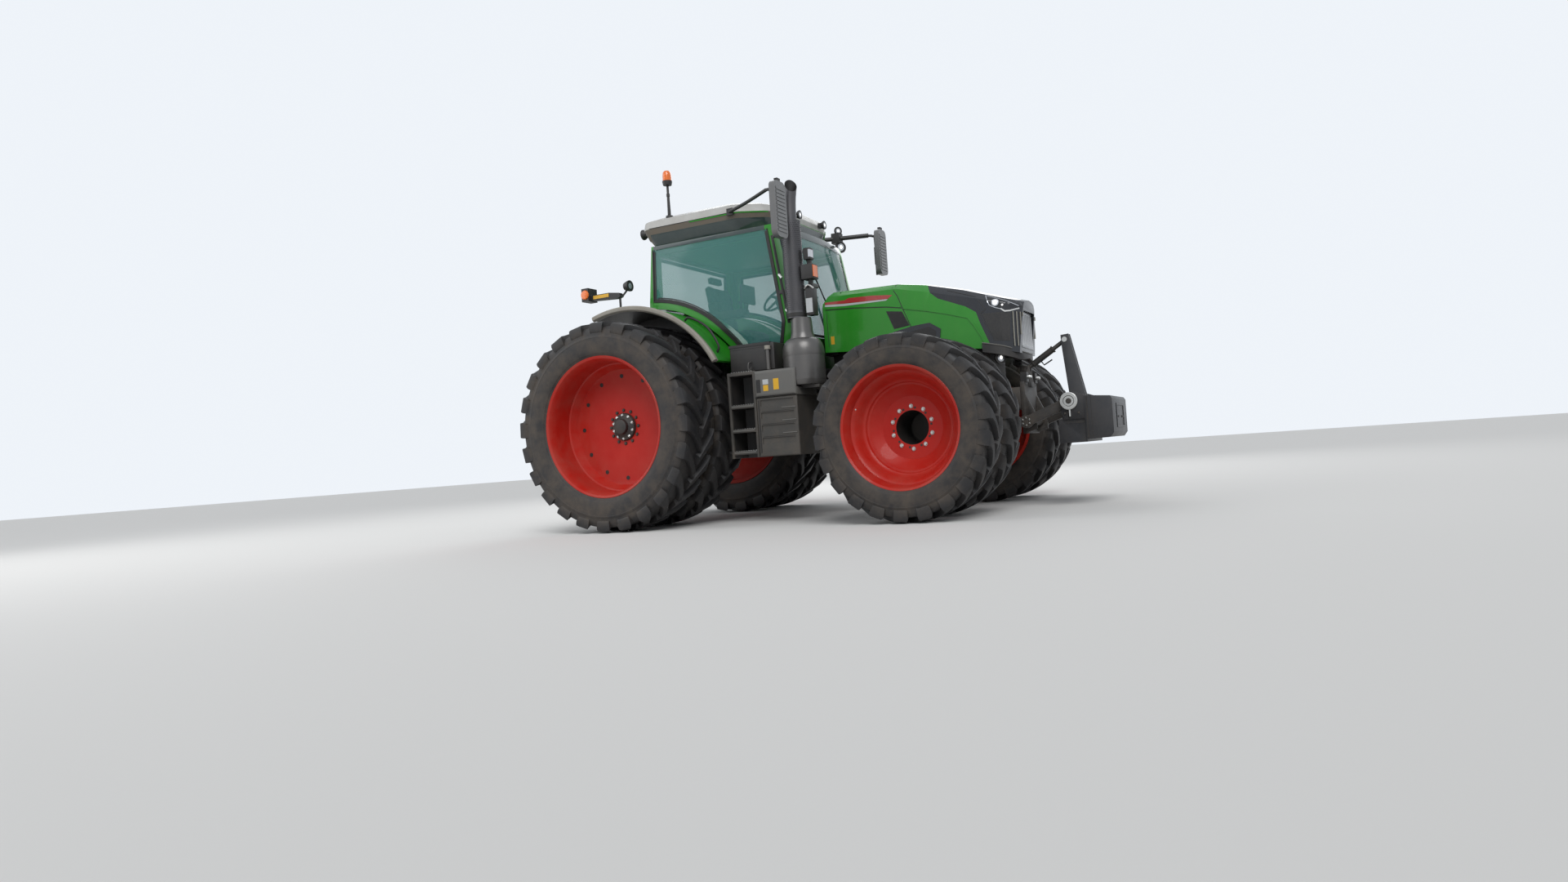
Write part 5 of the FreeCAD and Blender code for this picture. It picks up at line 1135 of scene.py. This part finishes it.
def roof():
    form = casting("cab_roof", "roof_shell", 0.012, 3, 20)
    form.split("z", 3.055, 3.115)
    form.split("x", 0.12, 1.42, 1.495)
    # the band below the cap's edge is painted brown: dust, and painted shade under the eave
    form.zone("roof_dust_and_shade", lambda c, n: c.z < 3.115 and c.x < 1.495)
    form.zone("smoked_header", lambda c, n: c.z < 3.055 and c.x > 0.12)
    form.zone(PLASTIC, lambda c, n: n.z < -0.85)
    skin = Surface("cab_roof")
    for view in VIEWS:
        form.lay(skin, view,
            ("green_paint", 0.055, 0.003, (1.462, 2.945), (1.462, 3.108)),
            (TRIM, 0.006, 0.002, (0.12, 3.118), (0.6, 3.118), (1.1, 3.118)),
            ("green_paint", 0.013, 0.003, (0.62, 3.108), (1.1, 3.108), (1.44, 3.108)))
    form.ribbon(skin, [(-0.6, 3.062), (0.6, 3.062)], "front", 0.006, 0.002)
    hatch = [(0.45, -0.33), (1.05, -0.33), (1.05, 0.33), (0.45, 0.33)]
    form.use("roof_dust_and_shade").ribbon(skin, hatch, "top", 0.012, 0.004, loop=True)
    form.use(TRIM).turn([(0, 0), (0, 0.022), (0.03, 0.02), (0.045, 0.01), (0.05, 0)],
        (0.86, -0.42, 3.262), "z", 16)
    form.finish_node("roof_cap", "cab_roof", "roof_grey", 22)
    form = Form(PLASTIC)
    # lamp columns: x, y, facing, radius, the roof's edge behind it
    rear = [(-0.08, y, -1, 0.056, -0.0105) for y in (-0.7, 0.7, -0.55, 0.55)]
    for x, y, facing, radius, edge in rear + [(1.605, y, 1, 0.046, 1.5405) for y in (-0.3, 0.3)]:
        round_lamp(form, (x, y, 3.12), radius, (facing, 0, 0), facing > 0)
        form.use(PLASTIC).block((edge, y - 0.028, 3.095), (x, y + 0.028, 3.145), 0.008)
    # beacon on its stem
    stem = [(3.205, 0.0), (3.205, 0.04), (3.235, 0.038), (3.245, 0.018), (3.44, 0.014), (3.44, 0.018),
        (3.47, 0.018), (3.47, 0.013), (3.555, 0.013), (3.56, 0.045), (3.59, 0.052), (3.604, 0.052),
        (3.604, 0.0)]
    lens = [(3.604, 0.047), (3.66, 0.046), (3.69, 0.042), (3.708, 0.03), (3.715, 0.0)]
    for finish, outline in ((PLASTIC, stem), ("amber_lens", lens)):
        form.use(finish).turn(outline, (0.33, -0.8, 0), "z", 28)
    form.finish("roof_lamp_units", "chassis", "lamp_clear", ("roof_lamps",))


def mirrors():
    form = Form(PLASTIC)
    corner, wide = 0.062, 0.113
    for side, arm in ((-1, 0.017), (1, 0.026)):
        y = side * 1.29
        form.use(PLASTIC).block((1.085, side * 0.886, 3.085), (1.155, side * 0.91, 3.155), 0.006)
        beam = [(1.12, side * 0.905, 3.12), (1.4, side * 1.06, 3.13), (1.73, side * 1.26, 3.15)]
        post = [(1.7, side * 1.242, 3.149), (1.775, side * 1.288, 3.14), (1.8, y, 3.09), (1.8, y, 2.68)]
        form.pipe(beam, arm, 14, 5)
        form.pipe(post, 0.015, 12, 5)
        form.block((1.79, y - 0.028, 2.8), (1.832, y + 0.028, 3.0), 0.006)
        outline = []
        for dy, z, start in ((1, 3.195, 0), (-1, 3.195, 90), (-1, 2.668, 180), (1, 2.668, 270)):
            inner = (y + dy * (wide - corner), z - (corner if z > 3 else -corner))
            outline += arc_points(inner, corner, start, start + 90, 5)
        form.use("mirror_shell").prism(outline, "yz", 1.834, 1.893, 0.022, 3)
        rib = Form("mirror_shell")
        rib.block((1.888, y - 0.086, 2.718), (1.899, y + 0.086, 2.742), 0.004)
        form.grid(rib, 1, 12, ZERO, (0, 0, 0.0355))
        for low, high in ((2.7, 3.03), (3.05, 3.165)):
            form.use(METAL).block((1.829, y - 0.085, low), (1.835, y + 0.085, high), 0)
        form.use(PLASTIC).block((1.85, y - 0.03, 3.19), (1.885, y + 0.03, 3.225), 0.008)
    # clamp and work lamps on the left arm
    form.block((1.36, 1.02, 3.07), (1.46, 1.13, 3.19), 0.014, 3)
    for spot, size in (((1.44, 1.05, 3.215), 0.05), ((1.45, 1.07, 3.025), 0.068)):
        round_lamp(form, spot, size, (0.8, -0.6, 0))
    form.finish("mirror_pair", "chassis", "charcoal_plastic", ("mirrors",))


# Exhaust

def exhaust():
    x, y = 1.895, -1.03
    form = Form("canister_grey")
    shoulder = [(1.6 + 0.14 * math.sin(t), 0.122 + 0.078 * math.cos(t))
        for t in [math.pi / 2 * k / 7 for k in range(8)]]
    drum = [(1.29, 0.0), (1.29, 0.176), (1.296, 0.19), (1.325, 0.2), (1.36, 0.2)]
    neck = [(1.765, 0.112), (1.8, 0.106), (1.935, 0.096), (1.935, 0.0)]
    form.turn(drum + shoulder + neck, (x, y, 0), "z", 64)
    for z in (1.345, 1.575):
        form.turn([(z, 0.199), (z, 0.2025), (z + 0.018, 0.2025), (z + 0.018, 0.199)], (x, y, 0), "z", 64)
    form.use(CHASSIS).block((1.905, -1.13, 1.262), (2.085, -0.3103, 1.29), 0.004)
    form.finish("canister", "chassis", "satin_black", ("exhaust_canister",))
    x -= 0.045
    shield(x, y)
    # pipe rows: height, forward bend; the tip is cut off obliquely
    rows = ((1.9365, 0.0), (2.9, 0.0), (2.98, 0.001), (3.04, 0.004), (3.09, 0.009), (3.13, 0.015),
        (3.142, 0.017))
    walls = []
    for reach in (0.0615, 0.0575):
        rings = []
        for z, bend in rows:
            cut, ring = 0.07 if z > 3.135 else 0.0, []
            for t in [math.tau * k / 40 for k in range(40)]:
                rise = cut * (1 - math.cos(t + 0.75))
                ahead = x + bend + 0.18 * rise
                ring.append((ahead + reach * math.cos(t), y + reach * math.sin(t), z + rise))
            rings.append(ring)
        walls.append(rings)
    outer, inner = walls
    stack = Form("shield_metal")
    stack.skin(outer, ends=False)
    stack.use(TRIM).skin([outer[-1]] + inner[::-1] + [outer[0]], ends=False)
    stack.turn([(1.94, 0.075), (1.95, 0.1), (1.985, 0.1), (1.99, 0.088)], (x, y, 0), "z", 40)
    stack.finish_node("stack_pipe", "exhaust_pipe", "satin_black")


def shield(x, y):
    """Sheet tube with round holes in staggered rows."""
    around, rows, low, high = 34, 46, 1.99, 2.868
    rise = (high - low) / rows
    half, radius, thick = math.pi / around, 0.0945, 0.005

    def ring(shape, r):
        return [(x + r * math.cos(a * half), y + r * math.sin(a * half), low + rise / 2 + b * rise / 2)
            for a, b in shape]

    square = [(1, 0), (1, 1), (0, 1), (-1, 1), (-1, 0), (-1, -1), (0, -1), (1, -1)]
    hole = [(math.cos(math.tau * k / 8) * 0.66, math.sin(math.tau * k / 8) * 0.66) for k in range(8)]
    tile, form = Form("shield_metal"), Form("shield_metal")
    tile.skin([ring(square, radius), ring(hole, radius), ring(hole, radius - thick),
        ring(square, radius - thick)], ends=False)
    form.add_mesh(repeated(tile, drum_tree(), Around=around, Rows=rows, Rise=rise, Centre=(x, y, 0)))
    work = form.mesh
    bmesh.ops.remove_doubles(work, verts=work.verts, dist=TINY)
    # the sheet's inner and outer faces meet at both ends
    for z in (low, high):
        ends = [e for e in work.edges if e.is_boundary and all(abs(v.co.z - z) < 0.001 for v in e.verts)]
        bmesh.ops.bridge_loops(work, edges=ends)
    for z in (1.937, 1.985, 2.862):
        top = min(z + 0.016, 2.8699)
        form.turn([(z, 0.088), (z, 0.0955), (top, 0.0955), (top, 0.088)], (x, y, 0), "z", 48, True)
    form.turn([(1.94, 0.0945), (1.99, 0.0945), (1.99, 0.089), (1.94, 0.089)], (x, y, 0), "z", 48, True)
    form.finish("stack_shield", "chassis", "satin_black", ("exhaust_shield",))


# Sides below the cab

def sides():
    ladders()
    side_box()
    form = casting("deck_box_right", PLASTIC, 0.012, 3)
    form.block((place("deck_box_right")[0].x - 0.006, -1.155, 1.716), (1.6, -0.86, 1.742), 0.008)
    form.lay(Surface("deck_box_right"), "right", (TRIM, 0.006, 0.001, (1.17, 1.695), (1.62, 1.695)))
    # bottle with its cap: finish, low, high, radius
    bottle = (("canister_grey", 1.47, 1.665, 0.02), ("lip_grey", 1.664, 1.7, 0.03))
    for finish, low, high, radius in bottle:
        form.use(finish).turn([(low, 0.0), (low, radius), (high, radius), (high, 0.0)],
            (1.585, -1.175, 0), "z", 20)
    form.use("canister_grey").pipe([(1.385, -1.156, 1.56), (1.375, -1.185, 1.55), (1.37, -1.19, 1.5),
        (1.385, -1.18, 1.475), (1.4, -1.185, 1.51)], 0.007, 8, 3)
    form.finish_node("deck_box", "deck_box_right", "charcoal_plastic")
    tank = casting("fuel_tank_left", "grey_plastic", 0.012, 3)
    skin = Surface("fuel_tank_left")
    for z in (0.8, 0.98, 1.16):
        tank.lay(skin, "left", (PLASTIC, 0.02, 0.006, (1.5, z), (1.84, z)))
    tank.use(TRIM).turn([(0, 0), (0, 0.05), (0.03, 0.05), (0.04, 0.04), (0.04, 0)],
        (1.78, 1.05, 1.462), "z", 24)
    tank.finish_node("fuel_tank", "fuel_tank_left", "charcoal_plastic")


def ladders():
    """Steps with studs on their treads and a lighter front edge."""
    form = casting("steps", "grey_plastic", 0.003)
    form.split("y", -1.2, 1.2)
    form.zone(PLASTIC, lambda c, n: abs(c.y) < 1.2)
    skin = Surface("steps")
    for side, view in SIDES:
        y = min(side * 1.225, side * 1.0)
        for top in (0.709, 0.92, 1.153, 1.47):
            stud = Form(METAL)
            stud.block((1.19, y + 0.01, top - 0.001), (1.2, y + 0.022, top + 0.005), 0)
            form.grid(stud, 9, 6, (0.027, 0, 0), (0, 0.034, 0), 0.5)
        for z in (0.695, 0.906, 1.139):
            form.lay(skin, view, ("cover_grey", 0.016, 0.003, (1.18, z), (1.42, z)))
    form.finish_node("ladder_pair", "steps", "charcoal_plastic")


def side_box():
    form = casting("side_box_right", "grey_plastic", 0.01, 3)
    form.split("z", 1.2065)
    form.zone("cover_grey", lambda c, n: c.z > 1.2065)
    # plate columns: finish, x and z of opposite corners
    plates = (
        (TRIM, 1.48, 1.25, 1.525, 1.375),
        ("silver_stripe", 1.552, 1.325, 1.612, 1.372),
        ("yellow_plate", 1.555, 1.262, 1.608, 1.318),
        ("yellow_plate", 1.665, 1.268, 1.722, 1.372))
    skin = Surface("side_box_right")
    for finish, x0, z0, x1, z1 in plates:
        form.use(finish).plate(skin, [(x0, z0), (x1, z0), (x1, z1), (x0, z1)], "right", 0.0015)
    form.lay(skin, "right",
        (TRIM, 0.01, 0.002, (1.458, 1.213), (1.895, 1.213)),
        (PLASTIC, 0.012, 0.004, (1.48, 0.68), (1.48, 1.18)))
    # each rib gets a lighter raised strip only on its right-hand part: painted highlight where the ribs
    # catch the light; the dark lines run the full width
    for z in (0.83, 0.95, 1.07):
        form.lay(skin, "right",
            ("cover_grey", 0.009, 0.006, (1.725, z + 0.026), (1.872, z + 0.026)),
            (TRIM, 0.005, 0.001, (1.51, z), (1.885, z)))
    form.finish_node("side_box", "side_box_right", "charcoal_plastic")


def fenders():
    form = casting("fenders", "green_paint", 0.006, 3, 25)
    form.split("y", -1.238, 1.238)
    form.zone("lip_grey", lambda c, n: abs(c.y) > 1.238)
    form.zone(PLASTIC, lambda c, n: abs(c.y) < 1.238
        and n.dot(Vector((c.x, 0, c.z - 1.04)).normalized()) < -0.5)
    # dark inner wall between the mudguard and the cab, and the grab rail
    section = ((0.6, 0.86), (0.612, 0.86), (0.612, 1.19), (0.6, 1.19))
    rail = ((33, 1.205), (35, 1.265), (45, 1.3), (55, 1.265), (57, 1.205))
    for side in (-1, 1):
        rings = []
        for t in [math.radians(-18 + 7 * k) for k in range(9)]:
            rings.append([(r * math.sin(t), side * y, REAR_R + r * math.cos(t)) for y, r in section])
        form.use(PLASTIC).skin(rings)
        path = []
        for degrees, out in rail:
            t = math.radians(degrees)
            path.append((out * math.sin(t), side * 1.16, REAR_R + out * math.cos(t)))
        form.use(TRIM).pipe(path, 0.012, 10, 4)
    form.finish_node("mudguards", "fenders", "body_green")
    marker_bars()
    form = casting("side_lamp_right", PLASTIC, 0.006)
    x = place("side_lamp_right")[1].x
    # block columns of the lamp stack: finish, back, front, inner side, outer side, low, high, edge, steps
    blocks = (
        ("amber_lens", -0.022, 0.006, -0.985, -1.08, 2.308, 2.417, 0.01, 3),
        ("lamp_glass", -0.045, -0.028, -0.985, -1.064, 2.5, 2.572, 0.006, 2),
        ("silver_stripe", -0.1, -0.034, -1.058, -1.064, 1.975, 2.11, 0.002, 2))
    for finish, back, front, inner, outer, low, high, edge, steps in blocks:
        form.use(finish).block((x + back, outer, low), (x + front, inner, high), edge, steps)
    form.use(METAL).pipe([(x - 0.11, -1.055, 2.21), (x - 0.06, -1.072, 2.235), (x - 0.02, -1.05, 2.2)],
        0.009, 10, 3)
    form.finish_node("side_lamps", "side_lamp_right", "lamp_clear")


def marker_bars():
    """Rear marker bars with amber lamps, reflector bars and stalk lamps."""
    form = Form(PLASTIC)
    for side in (-1, 1):
        y = side * 1.2
        form.use(PLASTIC).pipe([(-0.08, y, 2.251), (-0.08, y, 2.4)], 0.012, 12)
        bar = [(-0.47, 2.395), (-0.1, 2.375), (-0.055, 2.39), (-0.07, 2.43), (-0.2, 2.448),
            (-0.47, 2.448)]
        form.prism(bar, "xz", y - 0.03, y + 0.03, 0.006)
        form.use("yellow_plate").block((-0.4, y + side * 0.031, 2.405), (-0.2, y + side * 0.034, 2.44), 0)
        form.use(PLASTIC).block((-0.519, y - 0.074, 2.386), (-0.431, y + 0.074, 2.524), 0.02, 3)
        lens = [(0, 0.0), (0, 0.05), (side * 0.012, 0.044), (side * 0.018, 0.0)]
        form.use("amber_lens").turn(lens, (-0.475, y + side * 0.073, 2.455), "y", 28)
        form.use("red_lens").turn([(0, 0.0), (0, 0.045), (-0.01, 0.04), (-0.014, 0.0)],
            (-0.518, y, 2.455), "x", 28)
        form.use(PLASTIC).pipe([(-0.09, side * 1.15, 2.4), (-0.06, side * 1.1, 2.47)], 0.01, 10)
        spot = (-0.05, side * 1.1, 2.51)
        form.turn([(-0.035, 0.0), (-0.03, 0.04), (0.02, 0.058), (0.035, 0.058), (0.035, 0.05)], spot, "x",
            24)
        form.use("lamp_glass").turn([(0.033, 0.05), (0.038, 0.0)], spot, "x", 24)
    form.finish("marker_lamp_bars", "chassis", "lamp_clear", ("marker_lamps",))


# Inside of the cab

def stuffed(form, name, channels, swell=0.022):
    """Cushion skin blown up a little by a cloth run, then drawn in along its sewn channels."""
    scene, frames = bpy.context.scene, 20
    pad = bpy.data.objects.new(name, form.to_mesh(name, AXLE_X))
    scene.collection.objects.link(pad)
    even = pad.modifiers.new("even", "REMESH")
    even.mode, even.voxel_size = "VOXEL", 0.006
    pad.data = evaluated(pad)
    pad.modifiers.remove(even)
    start = [v.co.copy() for v in pad.data.vertices]
    cloth = pad.modifiers.new("swell", "CLOTH")
    cloth.settings.use_pressure = True
    cloth.settings.uniform_pressure_force = 4
    cloth.settings.effector_weights.gravity = 0
    cloth.point_cache.frame_start, cloth.point_cache.frame_end = 1, frames
    for step in range(1, frames + 1):
        scene.frame_set(step)
    blown = evaluated(pad)
    pad.modifiers.remove(cloth)
    for vertex, old in zip(blown.vertices, start):
        move = vertex.co - old
        vertex.co = old + move * min(1.0, swell / max(move.length, 1e-6))
    pad.data = blown
    scene.frame_set(1)
    normals = [v.normal.copy() for v in pad.data.vertices]
    depth, reach = 0.009, 0.007
    for vertex, out in zip(pad.data.vertices, normals):
        for axis, at in channels:
            off = vertex.co[axis] - at - (AXLE_X if axis == 0 else 0)
            vertex.co -= out * depth * math.exp(-(off / reach) ** 2)
    for face in pad.data.polygons:
        face.use_smooth = True
    smooth = pad.modifiers.new("smooth", "SUBSURF")
    smooth.levels = smooth.render_levels = 1
    return pad


def cushions():
    """Cloth pads on the seat's pedestal."""
    # pad columns: name, side outline, half width, edge, sewn channels as (axis, place)
    pads = (
        ("seat_pad", [(0.425, 1.918), (0.885, 1.918), (0.89, 1.985), (0.85, 2.008), (0.6, 1.998),
         (0.43, 2.008)], 0.222, 0.03, ((1, -0.14), (1, 0.14), (0, 0.56), (0, 0.72))),
        ("back_pad", [(0.425, 2.01), (0.335, 2.545), (0.385, 2.572), (0.44, 2.45), (0.482, 2.1),
         (0.482, 2.05)], 0.212, 0.03, ((1, -0.13), (1, 0.13), (2, 2.2), (2, 2.38))),
        ("head_pad", [(0.33, 2.6), (0.322, 2.665), (0.368, 2.68),
         (0.385, 2.612)], 0.11, 0.018, ((1, -0.07), (1, 0.07))))
    for name, outline, half, edge, channels in pads:
        form = Form("seat_cloth")
        form.prism(outline, "xz", -half, half, edge, 3)
        pad = stuffed(form, name, channels)
        seat(pad, "chassis", ("seat_cushion",) if name == "seat_pad" else ())


def cabin():
    base = casting("seat_base", PLASTIC, 0.012, 3)
    fold = Form(TRIM)
    fold.block((0.425, -0.182, 1.56), (0.875, 0.182, 1.585), 0.008)
    base.grid(fold, 1, 6, ZERO, (0, 0, 0.045))
    base.finish_node("seat_pedestal", "seat_base", "charcoal_plastic")
    cushions()
    column = casting("steering_column", PLASTIC, 0.006)
    column.use(TRIM).block((1.17, -0.09, 2.24), (1.26, 0.09, 2.3), 0.015)
    column.finish_node("column_and_wheel", "steering_column", "charcoal_plastic")
    rest = casting("armrest", PLASTIC, 0.01, 3)
    rest.use("screen_glass").block((0.977, -0.55, 2.27), (0.981, -0.3, 2.44), 0)
    rest.use(TRIM).pipe([(0.86, -0.35, 2.22), (0.865, -0.35, 2.28), (0.85, -0.35, 2.31)], 0.018, 12, 3)
    rest.finish_node("armrest_and_screen", "armrest", "charcoal_plastic")


# Stage

def added(name, data):
    """A new object in the scene."""
    made = bpy.data.objects.new(name, data)
    bpy.context.scene.collection.objects.link(made)
    return made


def floor(reach=60.0):
    mesh = bpy.data.meshes.new("floor")
    mesh.from_pydata([(-reach, -reach, 0), (reach, -reach, 0), (reach, reach, 0), (-reach, reach, 0)], [],
        [(0, 1, 2, 3)])
    made = bpy.data.materials.new("floor_pale")
    made.use_nodes = True
    shader = made.node_tree.nodes["Principled BSDF"]
    shader.inputs["Base Color"].default_value = (0.76, 0.755, 0.74, 1)
    shader.inputs["Roughness"].default_value = 0.9
    mesh.materials.append(made)
    added("floor", mesh)


def world():
    """Pale background; it lights the tractor less brightly than the camera and glass see it."""
    sky = bpy.data.worlds.new("studio")
    bpy.context.scene.world = sky
    sky.use_nodes = True
    tree = sky.node_tree
    rays = node_of(tree, "ShaderNodeLightPath").outputs
    seen = maths(tree, "MAXIMUM", rays["Is Camera Ray"], rays["Is Transmission Ray"])
    seen = maths(tree, "MAXIMUM", seen, rays["Is Glossy Ray"])
    shell = tree.nodes["Background"].inputs
    shell["Color"].default_value = (0.86, 0.9, 0.95, 1)
    tree.links.new(remap(tree, seen, 0.0, 1.0, 0.36, 1.0), shell["Strength"])


def lights():
    # light columns: name, kind, place, setting for its size, its value, power
    table = (
        ("key", "SUN", (5.0, -8.0, 10.0), "angle", 0.6, 1.7),
        ("fill", "AREA", (-9.0, -6.0, 6.0), "size", 8.0, 260),
        ("back", "AREA", (-3.0, 9.0, 8.0), "size", 8.0, 380))
    for name, kind, spot, setting, size, power in table:
        light = bpy.data.lights.new(name, kind)
        light.energy = power
        setattr(light, setting, size)
        lamp = added(name, light)
        lamp.location = spot
        aim = Vector((0, 0, 1.4)) - Vector(spot)
        lamp.rotation_euler = aim.to_track_quat("-Z", "Y").to_euler()


def camera(view):
    lens = bpy.data.cameras.new("photo_view")
    lens.sensor_width, lens.lens, lens.clip_end = 36.0, view.lens, 300.0
    made = added("photo_view", lens)
    level = math.cos(view.pitch)
    ahead = Vector((-math.sin(view.yaw) * level, math.cos(view.yaw) * level, math.sin(view.pitch)))
    right = Vector((math.cos(view.yaw), math.sin(view.yaw), 0))
    up = right.cross(ahead)
    c, s = math.cos(view.roll), math.sin(view.roll)
    right, up = right * c + up * s, up * c - right * s
    turn = Matrix((right, up, -ahead)).transposed().to_4x4()
    made.matrix_world = Matrix.Translation(Vector(view.place) + Vector((AXLE_X, 0, 0))) @ turn
    bpy.context.scene.camera = made


# Operators and panel

class TRACTOR_OT_tyres(bpy.types.Operator):
    """Lugged tyres on the four twin wheels"""

    bl_idname = "tractor.tyres"
    bl_label = "Tyres"

    def execute(self, context):
        tyres(context.scene.tractor_wheels)
        return {"FINISHED"}


class TRACTOR_OT_rims(bpy.types.Operator):
    """Dished rims, their spacer drums, hubs and wheel bolts"""

    bl_idname = "tractor.rims"
    bl_label = "Rims"

    def execute(self, context):
        rear_rims()
        front_rims()
        return {"FINISHED"}


class TRACTOR_OT_chassis(bpy.types.Operator):
    """Axle, frame, gearbox and engine with rounded edges and bolts"""

    bl_idname = "tractor.chassis"
    bl_label = "Chassis"

    def execute(self, context):
        chassis()
        return {"FINISHED"}


class TRACTOR_OT_linkage(bpy.types.Operator):
    """Front lift arms, top link with its handle, and hydraulic couplers"""

    bl_idname = "tractor.linkage"
    bl_label = "Front linkage"

    def execute(self, context):
        linkage()
        return {"FINISHED"}


class TRACTOR_OT_ballast(bpy.types.Operator):
    """Ballast block with its coupling plates and tower"""

    bl_idname = "tractor.ballast"
    bl_label = "Ballast"

    def execute(self, context):
        ballast()
        return {"FINISHED"}


class TRACTOR_OT_bonnet(bpy.types.Operator):
    """Bonnet skin with its seams, vents and blank stripe"""

    bl_idname = "tractor.bonnet"
    bl_label = "Bonnet"

    def execute(self, context):
        bonnet()
        return {"FINISHED"}


class TRACTOR_OT_nose(bpy.types.Operator):
    """Dark nose, headlamps, grille bars and lower band with its lamps"""

    bl_idname = "tractor.nose"
    bl_label = "Nose and headlamps"

    def execute(self, context):
        nose()
        return {"FINISHED"}


class TRACTOR_OT_cab(bpy.types.Operator):
    """Cab frame, floor, left door, glass and seals"""

    bl_idname = "tractor.cab"
    bl_label = "Cab"

    def execute(self, context):
        cab()
        return {"FINISHED"}


class TRACTOR_OT_roof(bpy.types.Operator):
    """Roof shell with its side band, lamps and beacon"""

    bl_idname = "tractor.roof"
    bl_label = "Roof"

    def execute(self, context):
        roof()
        return {"FINISHED"}


class TRACTOR_OT_mirrors(bpy.types.Operator):
    """Mirrors on their arms, with ribbed backs and work lamps"""

    bl_idname = "tractor.mirrors"
    bl_label = "Mirrors"

    def execute(self, context):
        mirrors()
        return {"FINISHED"}


class TRACTOR_OT_exhaust(bpy.types.Operator):
    """Treatment canister, perforated stack shield and pipe"""

    bl_idname = "tractor.exhaust"
    bl_label = "Exhaust"

    def execute(self, context):
        exhaust()
        return {"FINISHED"}


class TRACTOR_OT_sides(bpy.types.Operator):
    """Ladders, side box with blank plates, deck box and fuel tank"""

    bl_idname = "tractor.sides"
    bl_label = "Sides below the cab"

    def execute(self, context):
        sides()
        return {"FINISHED"}


class TRACTOR_OT_fenders(bpy.types.Operator):
    """Rear mudguards with pale lips, grab rail, lamps and reflectors"""

    bl_idname = "tractor.fenders"
    bl_label = "Mudguards"

    def execute(self, context):
        fenders()
        return {"FINISHED"}


class TRACTOR_OT_cabin(bpy.types.Operator):
    """Seat, steering column, armrest and screen"""

    bl_idname = "tractor.cabin"
    bl_label = "Inside of the cab"

    def execute(self, context):
        cabin()
        return {"FINISHED"}


class TRACTOR_OT_stage(bpy.types.Operator):
    """Pale floor, soft light, pale background and the camera"""

    bl_idname = "tractor.stage"
    bl_label = "Stage"

    def execute(self, context):
        floor()
        world()
        lights()
        camera(context.scene.tractor_view)
        context.scene.view_settings.view_transform = "Standard"
        return {"FINISHED"}


PIECES = (TRACTOR_OT_tyres, TRACTOR_OT_rims, TRACTOR_OT_chassis, TRACTOR_OT_linkage, TRACTOR_OT_ballast,
    TRACTOR_OT_bonnet, TRACTOR_OT_nose, TRACTOR_OT_cab, TRACTOR_OT_roof, TRACTOR_OT_mirrors,
    TRACTOR_OT_exhaust, TRACTOR_OT_sides, TRACTOR_OT_fenders, TRACTOR_OT_cabin, TRACTOR_OT_stage)


class TRACTOR_PT_pieces(bpy.types.Panel):
    """Sizes, colours and pieces of the tractor"""

    bl_idname = "TRACTOR_PT_pieces"
    bl_label = "Tractor"
    bl_space_type = "VIEW_3D"
    bl_region_type = "UI"
    bl_category = "Tractor"

    def draw(self, context):
        layout = self.layout
        for group in (context.scene.tractor_paint, context.scene.tractor_wheels,
                context.scene.tractor_view):
            for name in group.__annotations__:
                layout.prop(group, name)
        for piece in PIECES:
            layout.operator(piece.bl_idname)


CLASSES = (TractorPaint, TractorWheels, TractorView) + PIECES + (TRACTOR_PT_pieces,)


def register():
    for item in CLASSES:
        bpy.utils.register_class(item)
    bpy.types.Scene.tractor_paint = bpy.props.PointerProperty(type=TractorPaint)
    bpy.types.Scene.tractor_wheels = bpy.props.PointerProperty(type=TractorWheels)
    bpy.types.Scene.tractor_view = bpy.props.PointerProperty(type=TractorView)


def unregister():
    del bpy.types.Scene.tractor_view
    del bpy.types.Scene.tractor_wheels
    del bpy.types.Scene.tractor_paint
    for item in reversed(CLASSES):
        bpy.utils.unregister_class(item)


def main():
    register()
    for piece in PIECES:
        getattr(bpy.ops.tractor, piece.bl_idname.split(".")[1])()


if __name__ == "__main__":
    main()
